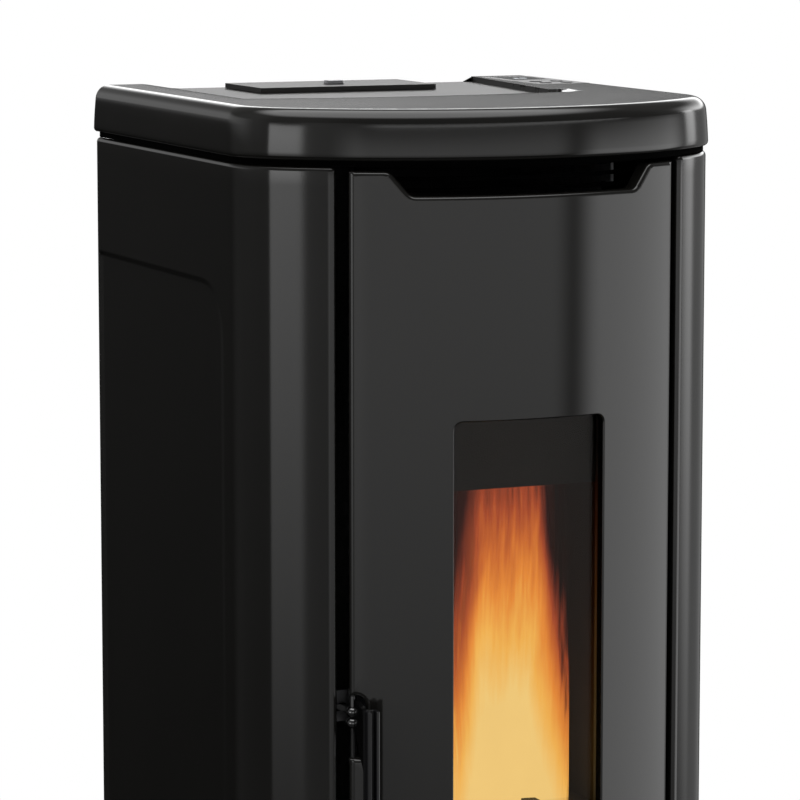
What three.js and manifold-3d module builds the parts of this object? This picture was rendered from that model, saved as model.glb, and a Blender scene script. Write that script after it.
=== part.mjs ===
// Free-standing pellet stove: a bowed front door with a window, wrapped side panels and a dished
// cover with the hopper lid, and inside it the firebox, the fuel feed and the fans.
// Millimetres, +Z up, +X to the right, the door faces -Y, the feet stand on z = 0.

import * as THREE from 'three';
import { mergeVertices } from 'three/addons/utils/BufferGeometryUtils.js';
import Module from 'manifold-3d';

const wasm = await Module();
wasm.setup();

// ---------------------------------------------------------------- driving dimensions

// Casing
const bodyWidth = 495;
const bodyDepth = 532.3;            // rear sheet to the crown of the bowed front
const coverTop = 1080;              // floor to the rim of the cover
const cornerRadius = 92.5;
const bowRadius = 322;
const sheet = 2;
const play = 0.3;                   // gap between pieces that touch
const seam = 7;                     // dark joint between outer panels
const doorWidth = 338.4;
const edgeReturn = 14;              // depth of the folded edges
const footHeight = 24;
const plinthHeight = 45;
const drawerFrontHeight = 133;
const doorTopDrop = 3.6;            // door top below the top of the side panels
const recessDepth = 3;
const recessTopDrop = 121.3;        // top of the side panels to the pressed recess
const recessBottomRise = 126;
const recessSetback = 182.5;        // crown of the front to the recess's front edge
const recessRadius = 50;
const recessSlope = 5;
const recessFrontSlope = 16;
const recessRearLip = 5;            // recess to the rear edge of the side panel
const rearReturn = 20;
const ventPitch = 16;
const ventSlot = 6;
const upperVentX = 150;             // middle of the back to each upper field of vents
const upperVentHalf = 45;
const upperVentZ = 620;
const upperVentRows = 7;
const lowerVentHalf = 70;
const lowerVentRise = 20;           // floor of the room fan to the first lower vent
const lowerVentRows = 5;

// Feet
const footSideGap = 57.5;           // side of the casing to the middle of a foot
const footFrontSetback = 110;
const footRearGap = 45;
const footRadius = 20;
const footPadHeight = 7;
const footNeckRadius = 10;
const footNeckHeight = 11;
const footStud = 4;
const footStudRise = 12;

// Cover
const coverHeight = 47.6;
const coverOverhang = 2.3;
const coverEdgeRadius = 12;
const coverFootRadius = 3;
const coverGap = 5.6;               // dark joint under the cover
const coverSkin = 4;
const skirtInset = 8;               // side of the casing to the skirt that shades the joint
const dishDepth = 5.5;
const dishRimLeft = 47.5;           // left side of the casing to the dish
const dishRimRear = 71;             // right side of the casing to the dish's wall at the rear
const dishRimFront = 101.5;
const dishFrontSetback = 212.5;     // crown of the front to the dish's front edge
const dishSideRamp = 40;
const dishFrontRamp = 70;

// Hopper lid
const lidLeft = 112;
const lidRight = 82;
const lidLength = 102;
const lidRearGap = 17.8;            // lid to the rear sheet
const lidLap = 11;
const lidPinRadius = 2;
const lidKnuckleWall = 2;
const lidKnuckleLength = 80;
const lidPinEnd = 12;               // pin beyond each end of the knuckle
const trenchWall = 3;
const trenchPlay = 1.5;             // knuckle to the trench it turns in
const trenchEnd = 16;
const pullWidth = 20;
const pullLength = 12;
const pullHeight = 4;
const pullSetback = 42;

// Door
const windowWidth = 155.5;
const windowHeight = 430;
const windowTopDrop = 292;          // rim of the cover to the window's top edge
const windowRadius = 8;
const notchTopHalf = 135.3;
const notchBottomHalf = 116.5;
const notchDrop = 80;               // rim of the cover to the bottom of the warm-air notch
const notchRadius = 9;
const frameHalfWidth = 118;
const frameThickness = 8;
const frameRise = 68;               // door frame above the window's top edge
const frameFall = 68;
const glassThickness = 4;
const glassLap = 12;
const gasketThickness = 1.4;
const gasketWidth = 8;
const sealDiameter = 10;
const sealInset = 12;
const stiffener = 3;
const grilleSetback = 30;           // bow of the front to the air outlet grille
const grilleThickness = 3;
const grilleOverlap = 16;           // grille beyond the warm-air notch at each side
const grilleFall = 22;              // grille below the notch
const grilleBorder = 14;
const grilleEdge = 5;
const louvreSlot = 7;
const louvres = 4;

// Hinges
const hingeSideGap = 7.2;           // side of the door to the hinge axis
const hingeSetback = 52.5;          // crown of the front to the hinge axis
const hingePinRadius = 2.5;
const hingeLugRadius = 4.6;
const hingeArm = 8;
const hingeEdge = 30;               // from the ends of the door frame to the hinge arms
const bracketThickness = 6;

// Handle
const latchSideGap = 6.7;
const latchSetback = 53.5;
const latchTopDrop = 553;           // rim of the cover to the top of the knuckle
const knuckleRadius = 8.8;
const knuckleHeight = 31;
const knuckleNeck = 6;              // radius above the two rounded collars
const collarHeight = 10.5;
const collarRounding = 2.4;
const latchNotchHeight = 59;
const latchNotchWidth = 15;
const latchLug = 5;
const latchLugRadius = 4.2;
const gripSideGap = 9.2;
const gripSetback = 14.5;
const gripWidth = 13;
const gripRounding = 2;
const gripGrooveWidth = 5;
const gripGrooveDepth = 8;
const gripTopDrop = 560;
const gripLength = 187;
const armFall = 15;                 // latch cut-out's bottom to the arm's lowest point
const armThickness = 6;
const tongueReach = 28;
const tongueHook = 9;
const tongueWidth = 4;
const tongueHeight = 16;

// Firebox
const fireSetback = 46.5;           // crown of the front to the firebox's front flange
const fireHalfWidth = 114;
const fireDepth = 148;
const fireBottom = 290;
const fireHeight = 560;
const fireWall = 4;
const mouthHalfWidth = 100;
const mouthBottom = 340;
const mouthHeight = 377;
const linerThickness = 12;
const baffleDrop = 92;
const baffleThickness = 6;
const shelfHeight = 385;
const shelfThickness = 5;
const potWidth = 96;
const potDepth = 84;
const potHeight = 46;
const potWall = 4;
const potRim = 9;
const potSetback = 68;              // front wall of the firebox to the middle of the burn pot
const potTaper = 10;
const igniterDrop = 14;             // shelf's underside to the igniter's axis
const igniterRadius = 5;
const ashMouthWidth = 120;
const ashMouthDepth = 90;
const finCount = 9;
const finHeight = 62;
const finThickness = 3;
const baffleSetback = 34;
const baffleFall = 26;              // how far the baffle slopes down to the rear

// Chassis
const uprightInner = 128;
const uprightThickness = 3;
const uprightSetback = 59.5;
const baseThickness = 3;
const uprightStep = 40;             // the uprights' upper part behind their lower part
const uprightOverFire = 20;
const sideOpeningRearGap = 45;
const sideOpeningLength = 80;
const sideOpeningHeight = 50;
const sideOpeningZ = 700;
const sideOpeningPitch = 90;
const lowOpeningRearGap = 155;
const lowOpeningLength = 110;
const lowOpeningHeight = 90;
const lowOpeningZ = 90;

// Fuel feed
const hopperWall = 2;
const hopperLength = 164;
const outletSize = 54;
const hopperConeTop = 760;
const augerTubeRadius = 30;
const augerTubeWall = 3;
const augerFlightRadius = 24;
const augerCoreRadius = 8;
const augerShaftRadius = 5;
const augerPitch = 42;
const augerHeadSetback = 237.5;     // crown of the front to the upper end of the auger's axis
const augerHeadHeight = 650;
const augerFootRearGap = 104;       // lower end of the auger's axis to the rear sheet
const augerFootHeight = 459.2;
const augerMotorRadius = 34;
const augerMotorLength = 66;
const inletHeight = 602;
const inletRearGap = 165;
const chuteSize = 50;
const chuteWall = 2;
const chuteTop = 596;
const chuteEntry = 17;              // upper end of the auger's axis to the drop into the chute
const chuteEntrySink = 8;
const chuteFall = 82;
const chuteNose = 14;               // chute in front of the liner
const spoutHalf = 20;

// Exhaust
const flueRadius = 40;
const flueReach = 45;
const flueWall = 1.5;
const flueHeight = 260;
const flueJointGap = 45;            // joint of the flue collar and the fan to the rear sheet
const flueOverlap = 20;
const exhaustX = 32;
const exhaustLift = 60;             // flue's axis to the exhaust fan's axis
const exhaustRearGap = 135;
const exhaustWall = 2.5;
const exhaustChannelGap = 24;
const voluteRadius = 70;
const voluteWidth = 56;
const impellerRadius = 52;
const impellerBlades = 10;
const impellerEye = 24;
const exhaustShaftRadius = 4;
const exhaustMotorRadius = 38;
const exhaustMotorLength = 50;
const intakeX = -80;
const intakeHeight = 322;
const intakeRadius = 22;
const intakeReach = 30;
const smokeDuctWidth = 56;
const smokeDuctHeight = 60;
const smokeLegDepth = 40;
const smokeDuctWall = 2;
const smokeDrop = 8;                // top of the firebox to the top of the duct
const smokeLip = 5;
const smokeMouthHeight = 62;

// Room-air fan
const fanHalfWidth = 108;
const fanHeight = 120;
const fanDepth = 130;
const fanRise = 18;
const fanRotorRadius = 42;
const fanBlades = 12;
const fanShaftRadius = 4;
const fanRearGap = 12;
const fanWall = 2;

// Ash drawer
const drawerHalfWidth = 100;
const drawerLength = 178;
const drawerHeight = 96;
const drawerWall = 2;
const drawerRise = 12;
const drawerNotchHalf = 46;
const drawerNotchDepth = 13;

// Controls
const panelSideGap = 39.5;          // side of the casing to the middle of the panel
const panelRearGap = 90;
const panelWidth = 58;
const panelLength = 148;
const panelThickness = 3;
const panelDepth = 20;
const displayWidth = 42;
const displayLength = 58;
const buttonRadius = 6.5;
const buttonPitch = 24;
const buttonRise = 0.8;
const inletGap = 15;                // upright to the power inlet
const inletZ = 112;
const inletWidth = 48;
const inletTall = 66;
const rockerWidth = 20;
const rockerTall = 14;
const rockerRise = 20;              // middle of the inlet to the rocker's axis

// ---------------------------------------------------------------- derived planes

const rearY = (bodyDepth + coverOverhang - flueReach) / 2;
const apexY = rearY - bodyDepth;
const bowCentreY = apexY + bowRadius;
const dishBow = 2 * bowRadius;      // the dish's front edge is flatter than the front
const cornerX = bodyWidth / 2 - cornerRadius;
const cornerY = bowCentreY - Math.sqrt((bowRadius - cornerRadius) ** 2 - cornerX ** 2);
const blendAngle = Math.asin(cornerX / (bowRadius - cornerRadius));
const footX = bodyWidth / 2 - footSideGap;
const coverBottom = coverTop - coverHeight;
const dishFloor = coverTop - dishDepth;
const coverUnderside = dishFloor - coverSkin;
const dishLeft = bodyWidth / 2 - dishRimLeft;
const dishRightRear = bodyWidth / 2 - dishRimRear;
const dishRightFront = bodyWidth / 2 - dishRimFront;
const lidFrontY = rearY - lidRearGap - lidLength;
const lidRearY = rearY - lidRearGap;
const lidAxisY = lidRearY + lidPinRadius + lidKnuckleWall + 2;
const lidAxisZ = dishFloor - lidPinRadius - play;
const lidMiddle = (lidRight - lidLeft) / 2;
const trenchRadius = lidPinRadius + lidKnuckleWall + trenchPlay;
const hopperRearY = lidAxisY - trenchRadius - trenchWall - play;
const panelX = bodyWidth / 2 - panelSideGap;
const panelY = rearY - panelRearGap;
const bodyTop = coverBottom - coverGap;
const doorTop = bodyTop - doorTopDrop;
const plinthTop = footHeight + plinthHeight;
const drawerBottom = plinthTop + seam;
const drawerTop = drawerBottom + drawerFrontHeight;
const doorBottom = drawerTop + seam;
const doorHalf = doorWidth / 2;
const windowTop = coverTop - windowTopDrop;
const windowBottom = windowTop - windowHeight;
const fireFrontY = apexY + fireSetback;
const frameBackY = fireFrontY - sealDiameter - 2 * play;
const frameFrontY = frameBackY - frameThickness;
const glassBackY = frameFrontY - 2 * play - gasketThickness;
const glassFrontY = glassBackY - glassThickness;
const frameTop = windowTop + frameRise;
const frameBottom = windowBottom - frameFall;
const hingeX = doorHalf - hingeSideGap;
const hingeY = apexY + hingeSetback;
const latchX = latchSideGap - doorHalf;
const latchY = apexY + latchSetback;
const latchTop = coverTop - latchTopDrop;
const gripX = gripSideGap - doorHalf;
const baseTop = footHeight + baseThickness;
const fireTop = fireBottom + fireHeight;
const fireRearY = fireFrontY + fireWall + fireDepth;
const linerFrontY = fireRearY - fireWall - play - linerThickness;
const potY = fireFrontY + fireWall + potSetback;
const igniterZ = shelfHeight - igniterDrop;
const uprightFrontY = apexY + uprightSetback;
const hopperTop = coverUnderside - play;
const hopperFrontY = hopperRearY - hopperLength;
const augerHeadY = apexY + augerHeadSetback;
const augerFootY = rearY - augerFootRearGap;
const augerRise = augerHeadHeight - augerFootHeight;
const augerRun = augerFootY - augerHeadY;
const augerLength = Math.hypot(augerRun, augerRise);
const inletY = rearY - inletRearGap;
const flueEndY = rearY + flueReach;
const flueJointY = rearY - flueJointGap;
const exhaustAxisY = rearY - exhaustRearGap;
const exhaustAxisZ = flueHeight + exhaustLift;
const voluteX0 = exhaustX - voluteWidth / 2;
const voluteX1 = exhaustX + voluteWidth / 2;
const smokeTop = fireTop - smokeDrop;
const smokeX0 = voluteX1 + play;
const smokeX1 = smokeX0 + smokeDuctWidth;
const inletX = -(uprightInner + uprightThickness + inletGap + inletWidth / 2);
const rockerZ = inletZ + rockerRise;

// ---------------------------------------------------------------- materials

function finish(color, roughness, metalness) {
  return () => new THREE.MeshStandardMaterial({ color, roughness, metalness });
}
const paint = finish(0x2b2b29, 0.35, 0.3);
const blackPaint = finish(0x0b0b0b, 0.6, 0.2);
const glossBlack = finish(0x101012, 0.15, 0.2);
const castIron = finish(0x2f2f31, 0.7, 0.6);
const steel = finish(0x8c8f92, 0.4, 0.9);
const galvanised = finish(0xa2a6a8, 0.5, 0.8);
const glass = finish(0x201a16, 0.05, 0);
const rope = finish(0x5a5a58, 0.95, 0);
const vermiculite = finish(0x6b5a46, 0.9, 0);
const plastic = finish(0x1a1a1c, 0.4, 0);
const rubber = finish(0x161616, 0.8, 0);
const circuit = finish(0x1f5a35, 0.5, 0.1);

// ---------------------------------------------------------------- solids

// A closed mesh as a solid that can be joined and cut.
function solid(geometry) {
  geometry.deleteAttribute('normal');
  geometry.deleteAttribute('uv');
  const merged = mergeVertices(geometry, 1e-4);
  const vertProperties = new Float32Array(merged.attributes.position.array);
  const triVerts = new Uint32Array(merged.index.array);
  if (signedVolume(vertProperties, triVerts) < 0) {
    for (let i = 0; i < triVerts.length; i += 3) {
      triVerts.subarray(i, i + 3).reverse();
    }
  }
  return new wasm.Manifold(new wasm.Mesh({ numProp: 3, vertProperties, triVerts }));
}

// Negative where the faces point inwards.
function signedVolume(positions, index) {
  const corner = (i) => new THREE.Vector3().fromArray(positions, 3 * index[i]);
  let volume = 0;
  for (let i = 0; i < index.length; i += 3) {
    volume += corner(i).dot(corner(i + 1).cross(corner(i + 2))) / 6;
  }
  return volume;
}

function geometryOf(shape) {
  const mesh = shape.getMesh();
  const geometry = new THREE.BufferGeometry();
  geometry.setAttribute('position', new THREE.BufferAttribute(mesh.vertProperties, 3));
  geometry.setIndex(new THREE.BufferAttribute(mesh.triVerts, 1));
  geometry.computeVertexNormals();
  return geometry;
}

// Joins all the solids given.
function join(...shapes) {
  return shapes.reduce((whole, next) => whole.add(next));
}

function cutAll(whole, cutters) {
  return cutters.reduce((left, cutter) => left.subtract(cutter), whole);
}

function box(x0, x1, y0, y1, z0, z1) {
  const geometry = new THREE.BoxGeometry(x1 - x0, y1 - y0, z1 - z0);
  geometry.translate((x0 + x1) / 2, (y0 + y1) / 2, (z0 + z1) / 2);
  return solid(geometry);
}

function outlineShape(points, holes = []) {
  const shape = new THREE.Shape(points);
  shape.holes = holes.map((hole) => new THREE.Path(hole));
  return shape;
}

// The outline lies in X and Y and rises from z0 to z1.
function prism(points, z0, z1, holes = []) {
  const settings = { depth: z1 - z0, bevelEnabled: false };
  const geometry = new THREE.ExtrudeGeometry(outlineShape(points, holes), settings);
  geometry.translate(0, 0, z0);
  return solid(geometry);
}

// The outline lies in X and Z and runs from y0 to y1.
function prismAlongY(points, y0, y1, holes = []) {
  const settings = { depth: y1 - y0, bevelEnabled: false };
  const geometry = new THREE.ExtrudeGeometry(outlineShape(points, holes), settings);
  geometry.rotateX(Math.PI / 2);
  geometry.translate(0, y1, 0);
  return solid(geometry);
}

// The outline lies in Y and Z and runs from x0 to x1.
function prismAlongX(points, x0, x1) {
  const settings = { depth: x1 - x0, bevelEnabled: false };
  const geometry = new THREE.ExtrudeGeometry(outlineShape(points), settings);
  geometry.applyMatrix4(new THREE.Matrix4().set(0, 0, 1, x0, 1, 0, 0, 0, 0, 1, 0, 0, 0, 0, 0, 1));
  return solid(geometry);
}

// A round bar between two points.
function rod(from, to, radius, segments = 16) {
  const start = new THREE.Vector3(...from);
  const along = new THREE.Vector3(...to).sub(start);
  const geometry = new THREE.CylinderGeometry(radius, radius, along.length(), segments);
  const up = new THREE.Vector3(0, 1, 0);
  const turn = new THREE.Quaternion().setFromUnitVectors(up, along.clone().normalize());
  geometry.applyQuaternion(turn);
  geometry.translate(...start.addScaledVector(along, 0.5).toArray());
  return solid(geometry);
}

function lathe(profile, segments = 14) {
  const points = profile.map(([radius, height]) => new THREE.Vector2(radius, height));
  const geometry = new THREE.LatheGeometry(points, segments);
  geometry.rotateX(Math.PI / 2);
  return solid(geometry);
}

// Skins a stack of outlines, each with the same number of points, from the first level to the last.
function loft(levels, place) {
  const count = levels[0].points.length;
  const positions = [];
  for (const level of levels) {
    for (const point of level.points) {
      positions.push(...place(point.x, point.y, level.at));
    }
  }
  const index = [];
  for (let row = 0; row + 1 < levels.length; row++) {
    for (let i = 0; i < count; i++) {
      const a = row * count + i;
      const b = row * count + (i + 1) % count;
      index.push(a, b, b + count, a, b + count, a + count);
    }
  }
  const last = (levels.length - 1) * count;
  for (const [a, b, c] of THREE.ShapeUtils.triangulateShape(levels[0].points, [])) {
    index.push(a, c, b);
  }
  for (const [a, b, c] of THREE.ShapeUtils.triangulateShape(levels[levels.length - 1].points, [])) {
    index.push(last + a, last + b, last + c);
  }
  const geometry = new THREE.BufferGeometry();
  geometry.setAttribute('position', new THREE.Float32BufferAttribute(positions, 3));
  geometry.setIndex(index);
  return solid(geometry);
}

const rising = (x, y, z) => [x, y, z];

function rectangle(x0, x1, y0, y1) {
  return [
    new THREE.Vector2(x0, y0),
    new THREE.Vector2(x1, y0),
    new THREE.Vector2(x1, y1),
    new THREE.Vector2(x0, y1),
  ];
}

function roundedRectangle(x0, x1, y0, y1, radius, steps = 3) {
  const corners = [[x1 - radius, y0 + radius], [x1 - radius, y1 - radius],
    [x0 + radius, y1 - radius], [x0 + radius, y0 + radius]];
  const points = [];
  corners.forEach(([cx, cy], corner) => {
    for (let i = 0; i <= steps; i++) {
      const angle = (corner - 1 + i / steps) * Math.PI / 2;
      points.push(new THREE.Vector2(cx + radius * Math.cos(angle), cy + radius * Math.sin(angle)));
    }
  });
  return points;
}

function circle(cx, cy, radius, segments = 20) {
  const points = [];
  for (let i = 0; i < segments; i++) {
    const angle = 2 * Math.PI * i / segments;
    points.push(new THREE.Vector2(cx + radius * Math.cos(angle), cy + radius * Math.sin(angle)));
  }
  return points;
}

// ---------------------------------------------------------------- the casing's outline

// Point on the front at an angle from straight ahead, on the outline drawn in by inset.
function frontPoint(angle, inset) {
  const side = Math.sign(angle);
  if (Math.abs(angle) <= blendAngle) {
    const radius = bowRadius - inset;
    return new THREE.Vector2(radius * Math.sin(angle), bowCentreY - radius * Math.cos(angle));
  }
  const radius = cornerRadius - inset;
  return new THREE.Vector2(
    side * cornerX + radius * Math.sin(angle),
    cornerY - radius * Math.cos(angle),
  );
}

// Points from one angle to another, always with one where the bow meets a corner.
function frontPath(from, to, inset, step = 5) {
  const stops = [from, -blendAngle, blendAngle, to].filter((a) => a >= from && a <= to);
  const points = [];
  const ordered = [...new Set(stops)].sort((a, b) => a - b);
  for (let i = 0; i + 1 < ordered.length; i++) {
    const span = ordered[i + 1] - ordered[i];
    const count = Math.max(1, Math.round(THREE.MathUtils.radToDeg(span) / step));
    for (let k = 0; k < count; k++) {
      points.push(frontPoint(ordered[i] + span * k / count, inset));
    }
  }
  points.push(frontPoint(to, inset));
  return points;
}

function bowAngle(x, inset) {
  return Math.asin(x / (bowRadius - inset));
}

function bowY(x, inset) {
  return bowCentreY - Math.sqrt((bowRadius - inset) ** 2 - x ** 2);
}

// The whole plan outline, anticlockwise from the left rear corner.
function casingOutline(inset, rearInset) {
  const quarter = Math.PI / 2;
  const half = bodyWidth / 2 - inset;
  const rear = rearY - rearInset;
  return [
    new THREE.Vector2(-half, rear),
    ...frontPath(-quarter, quarter, inset, 6),
    new THREE.Vector2(half, rear),
  ];
}

// A bowed sheet between two x values, with both ends folded back towards the rear.
function bowedSheet(half, z0, z1, fold) {
  const outer = frontPath(bowAngle(-half, 0), bowAngle(half, 0), 0);
  const innerHalf = half - sheet;
  const inner = frontPath(bowAngle(-innerHalf, sheet), bowAngle(innerHalf, sheet), sheet);
  const foldY = bowY(half, 0) + fold;
  return prism([
    new THREE.Vector2(-half, foldY),
    ...outer,
    new THREE.Vector2(half, foldY),
    new THREE.Vector2(innerHalf, foldY),
    ...inner.reverse(),
    new THREE.Vector2(-innerHalf, foldY),
  ], z0, z1);
}

// A flat web that fills the bow behind a front sheet, back to the line y = back.
function bowWeb(half, back, z0, z1, inset = sheet) {
  return prism([
    ...frontPath(bowAngle(-half, inset), bowAngle(half, inset), inset),
    new THREE.Vector2(half, back),
    new THREE.Vector2(-half, back),
  ], z0, z1);
}

// ---------------------------------------------------------------- the scene graph

const stove = new THREE.Group();

function addPart(parent, name, shape, material) {
  const mesh = new THREE.Mesh(geometryOf(shape), material());
  mesh.name = name;
  parent.add(mesh);
  return mesh;
}

// A group whose own origin is at the given point; shapes drawn in the stove's frame are moved back.
function groupAt(x, y, z) {
  const group = new THREE.Group();
  group.position.set(x, y, z);
  stove.add(group);
  return group;
}

function addMoved(group, name, shape, material) {
  const mesh = addPart(group, name, shape, material);
  mesh.geometry.translate(-group.position.x, -group.position.y, -group.position.z);
  return mesh;
}

// ---------------------------------------------------------------- casing

function sidePanel(side) {
  const half = bodyWidth / 2;
  const columnX = doorHalf + seam;
  const quarter = Math.PI / 2;
  const outer = frontPath(bowAngle(columnX, 0), quarter, 0);
  const inner = frontPath(bowAngle(columnX + sheet, sheet), quarter, sheet).reverse();
  const foldY = bowY(columnX, 0) + edgeReturn;
  const section = [
    new THREE.Vector2(columnX, foldY),
    ...outer,
    new THREE.Vector2(half, rearY),
    new THREE.Vector2(half - rearReturn, rearY),
    new THREE.Vector2(half - rearReturn, rearY - sheet),
    new THREE.Vector2(half - sheet, rearY - sheet),
    ...inner,
    new THREE.Vector2(columnX + sheet, foldY),
  ];
  const plain = prism(section, footHeight, bodyTop);
  const withinSide = box(0, half, apexY, rearY, 0, coverTop);
  const tray = pressedField(sheet, recessDepth + sheet).intersect(withinSide);
  const panel = plain.add(tray).subtract(pressedField(0, recessDepth));
  return side > 0 ? panel : mirrored(panel);
}

// The recess's room, grown by a margin, from beyond the side sheet's outer face down to a depth.
function pressedField(grow, depth) {
  const over = 1;
  const half = bodyWidth / 2;
  const front = apexY + recessSetback - grow;
  const low = footHeight + recessBottomRise - grow;
  const high = bodyTop - recessTopDrop + grow;
  const level = (share, at) => {
    const extra = recessSlope * share;
    return {
      points: roundedRectangle(
        front - recessFrontSlope * share,
        rearY + recessRadius,
        low - extra,
        high + extra,
        recessRadius + extra,
        4,
      ),
      at,
    };
  };
  const levels = [level(1 + over / depth, half + over), level(0, half - depth)];
  const rear = rearY - recessRearLip + grow;
  return loft(levels, (y, z, x) => [x, y, z]).intersect(box(0, bodyWidth, apexY, rear, 0, coverTop));
}

function mirrored(shape) {
  return solid(geometryOf(shape).scale(-1, 1, 1));
}

function dish() {
  const front = apexY + dishFrontSetback;
  const beyond = rearY + 5;
  const arc = (from, to, crown, count) => {
    const points = [];
    for (let i = 0; i <= count; i++) {
      const x = from + (to - from) * i / count;
      points.push(new THREE.Vector2(x, crown + x * x / (2 * dishBow)));
    }
    return points;
  };
  const outline = (left, rightFront, rightRear, crown) => [
    new THREE.Vector2(-left, beyond),
    ...arc(-left, rightFront, crown, 10),
    new THREE.Vector2(rightRear, beyond),
  ];
  const over = 1;
  const slopeOver = over / dishDepth;
  const levels = [
    { points: outline(dishLeft - dishSideRamp, dishRightFront, dishRightRear, front + dishFrontRamp),
      at: dishFloor },
    { points: outline(
      dishLeft + dishSideRamp * slopeOver,
      dishRightFront,
      dishRightRear,
      front - dishFrontRamp * slopeOver,
    ),
    at: coverTop + over },
  ];
  return loft(levels, rising);
}

function topCover() {
  const levels = [];
  for (const turn of [0, 45, 90]) {
    const angle = THREE.MathUtils.degToRad(turn);
    levels.push([coverFootRadius * (1 - Math.sin(angle)), coverFootRadius * (1 - Math.cos(angle))]);
  }
  for (let turn = 0; turn <= 90; turn += 18) {
    const angle = THREE.MathUtils.degToRad(turn);
    levels.push([
      coverEdgeRadius * (1 - Math.cos(angle)),
      coverHeight - coverEdgeRadius * (1 - Math.sin(angle)),
    ]);
  }
  const shell = loft(levels.map(([inset, height]) => ({
    points: casingOutline(inset - coverOverhang, 0),
    at: coverBottom + height,
  })), rising);
  const hollow = prism(casingOutline(coverSkin - coverOverhang, coverSkin), 0, coverUnderside);
  const skirt = prism(casingOutline(skirtInset, coverSkin), bodyTop + play, coverUnderside + 1)
    .subtract(prism(casingOutline(skirtInset + sheet, 0), coverHeight, coverTop));
  const mouth = box(
    -lidLeft + lidLap,
    lidRight - lidLap,
    lidFrontY + lidLap,
    lidRearY - lidLap,
    coverBottom,
    coverTop,
  );
  const trenchHalf = lidKnuckleLength / 2 + 1;
  const trenchFloor = lidAxisZ - trenchRadius;
  const trench = box(
    lidMiddle - trenchHalf,
    lidMiddle + trenchHalf,
    lidAxisY - trenchRadius,
    lidAxisY + trenchRadius,
    trenchFloor,
    coverTop,
  );
  const trenchSkin = box(
    lidMiddle - trenchHalf - trenchEnd,
    lidMiddle + trenchHalf + trenchEnd,
    lidAxisY - trenchRadius - trenchWall,
    rearY - 1,
    trenchFloor - 2,
    coverUnderside + 1,
  );
  const pinHole = rod(
    [lidMiddle - trenchHalf - lidPinEnd, lidAxisY, lidAxisZ],
    [lidMiddle + trenchHalf + lidPinEnd, lidAxisY, lidAxisZ],
    lidPinRadius + play,
    12,
  );
  const panelHole = box(
    panelX - panelWidth / 2 - play,
    panelX + panelWidth / 2 + play,
    panelY - panelLength / 2 - play,
    panelY + panelLength / 2 + play,
    coverBottom,
    coverTop + 1,
  );
  const raised = join(shell.subtract(hollow).subtract(dish()), skirt, trenchSkin);
  return cutAll(raised, [trench, mouth, pinHole, panelHole]);
}

// Cutters for one field of level slots, from its lowest slot up.
function ventSlots(x, half, lowest, rows, through) {
  return Array.from({ length: rows }, (unused, row) => {
    const z = lowest + row * ventPitch;
    return box(x - half, x + half, ...through, z, z + ventSlot);
  });
}

function rearPanel() {
  const half = bodyWidth / 2 - rearReturn - play;
  const front = rearY - sheet;
  const plate = box(-half, half, front, rearY, footHeight, bodyTop);
  const through = [front - 1, rearY + 1];
  const inletHalf = inletWidth / 2 + play;
  const inletTallHalf = inletTall / 2 + play;
  const cuts = [
    prismAlongY(circle(exhaustX, flueHeight, flueRadius + 2, 28), ...through),
    prismAlongY(circle(intakeX, intakeHeight, intakeRadius + 1), ...through),
    box(
      inletX - inletHalf,
      inletX + inletHalf,
      ...through,
      inletZ - inletTallHalf,
      inletZ + inletTallHalf,
    ),
    ...ventSlots(-upperVentX, upperVentHalf, upperVentZ, upperVentRows, through),
    ...ventSlots(upperVentX, upperVentHalf, upperVentZ, upperVentRows, through),
    ...ventSlots(0, lowerVentHalf, baseTop + fanRise + lowerVentRise, lowerVentRows, through),
  ];
  return cutAll(plate, cuts);
}

function footPlaces() {
  const front = apexY + footFrontSetback;
  const rear = rearY - footRearGap;
  return {
    foot_front_left: [-footX, front],
    foot_front_right: [footX, front],
    foot_rear_left: [-footX, rear],
    foot_rear_right: [footX, rear],
  };
}

function basePlate() {
  const holes = Object.values(footPlaces()).map(([x, y]) => circle(x, y, footStud + play, 12));
  const plate = prism(casingOutline(sheet + play, sheet + play), footHeight, baseTop, holes);
  const columnX = doorHalf + seam;
  const foldEnd = bowY(columnX, 0) + edgeReturn + play;
  const cuts = [columnX - play, -columnX - sheet - play].map(
    (x) => box(x, x + sheet + 2 * play, apexY, foldEnd, footHeight - 1, baseTop + 1),
  );
  return cutAll(plate, cuts);
}

function foot() {
  return lathe([
    [0, 0],
    [footRadius, 0],
    [footRadius, footPadHeight],
    [footNeckRadius, footNeckHeight],
    [footNeckRadius, footHeight - play],
    [footStud, footHeight - play],
    [footStud, baseTop + footStudRise],
    [0, baseTop + footStudRise],
  ]);
}

function frontPlinth() {
  const skin = bowedSheet(doorHalf, footHeight, plinthTop, edgeReturn);
  const webBottom = baseTop + play;
  const web = bowWeb(doorHalf - sheet - 1, uprightFrontY - play, webBottom, webBottom + sheet);
  return skin.subtract(prism(casingOutline(sheet, 0), footHeight, baseTop + play)).add(web);
}

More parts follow.
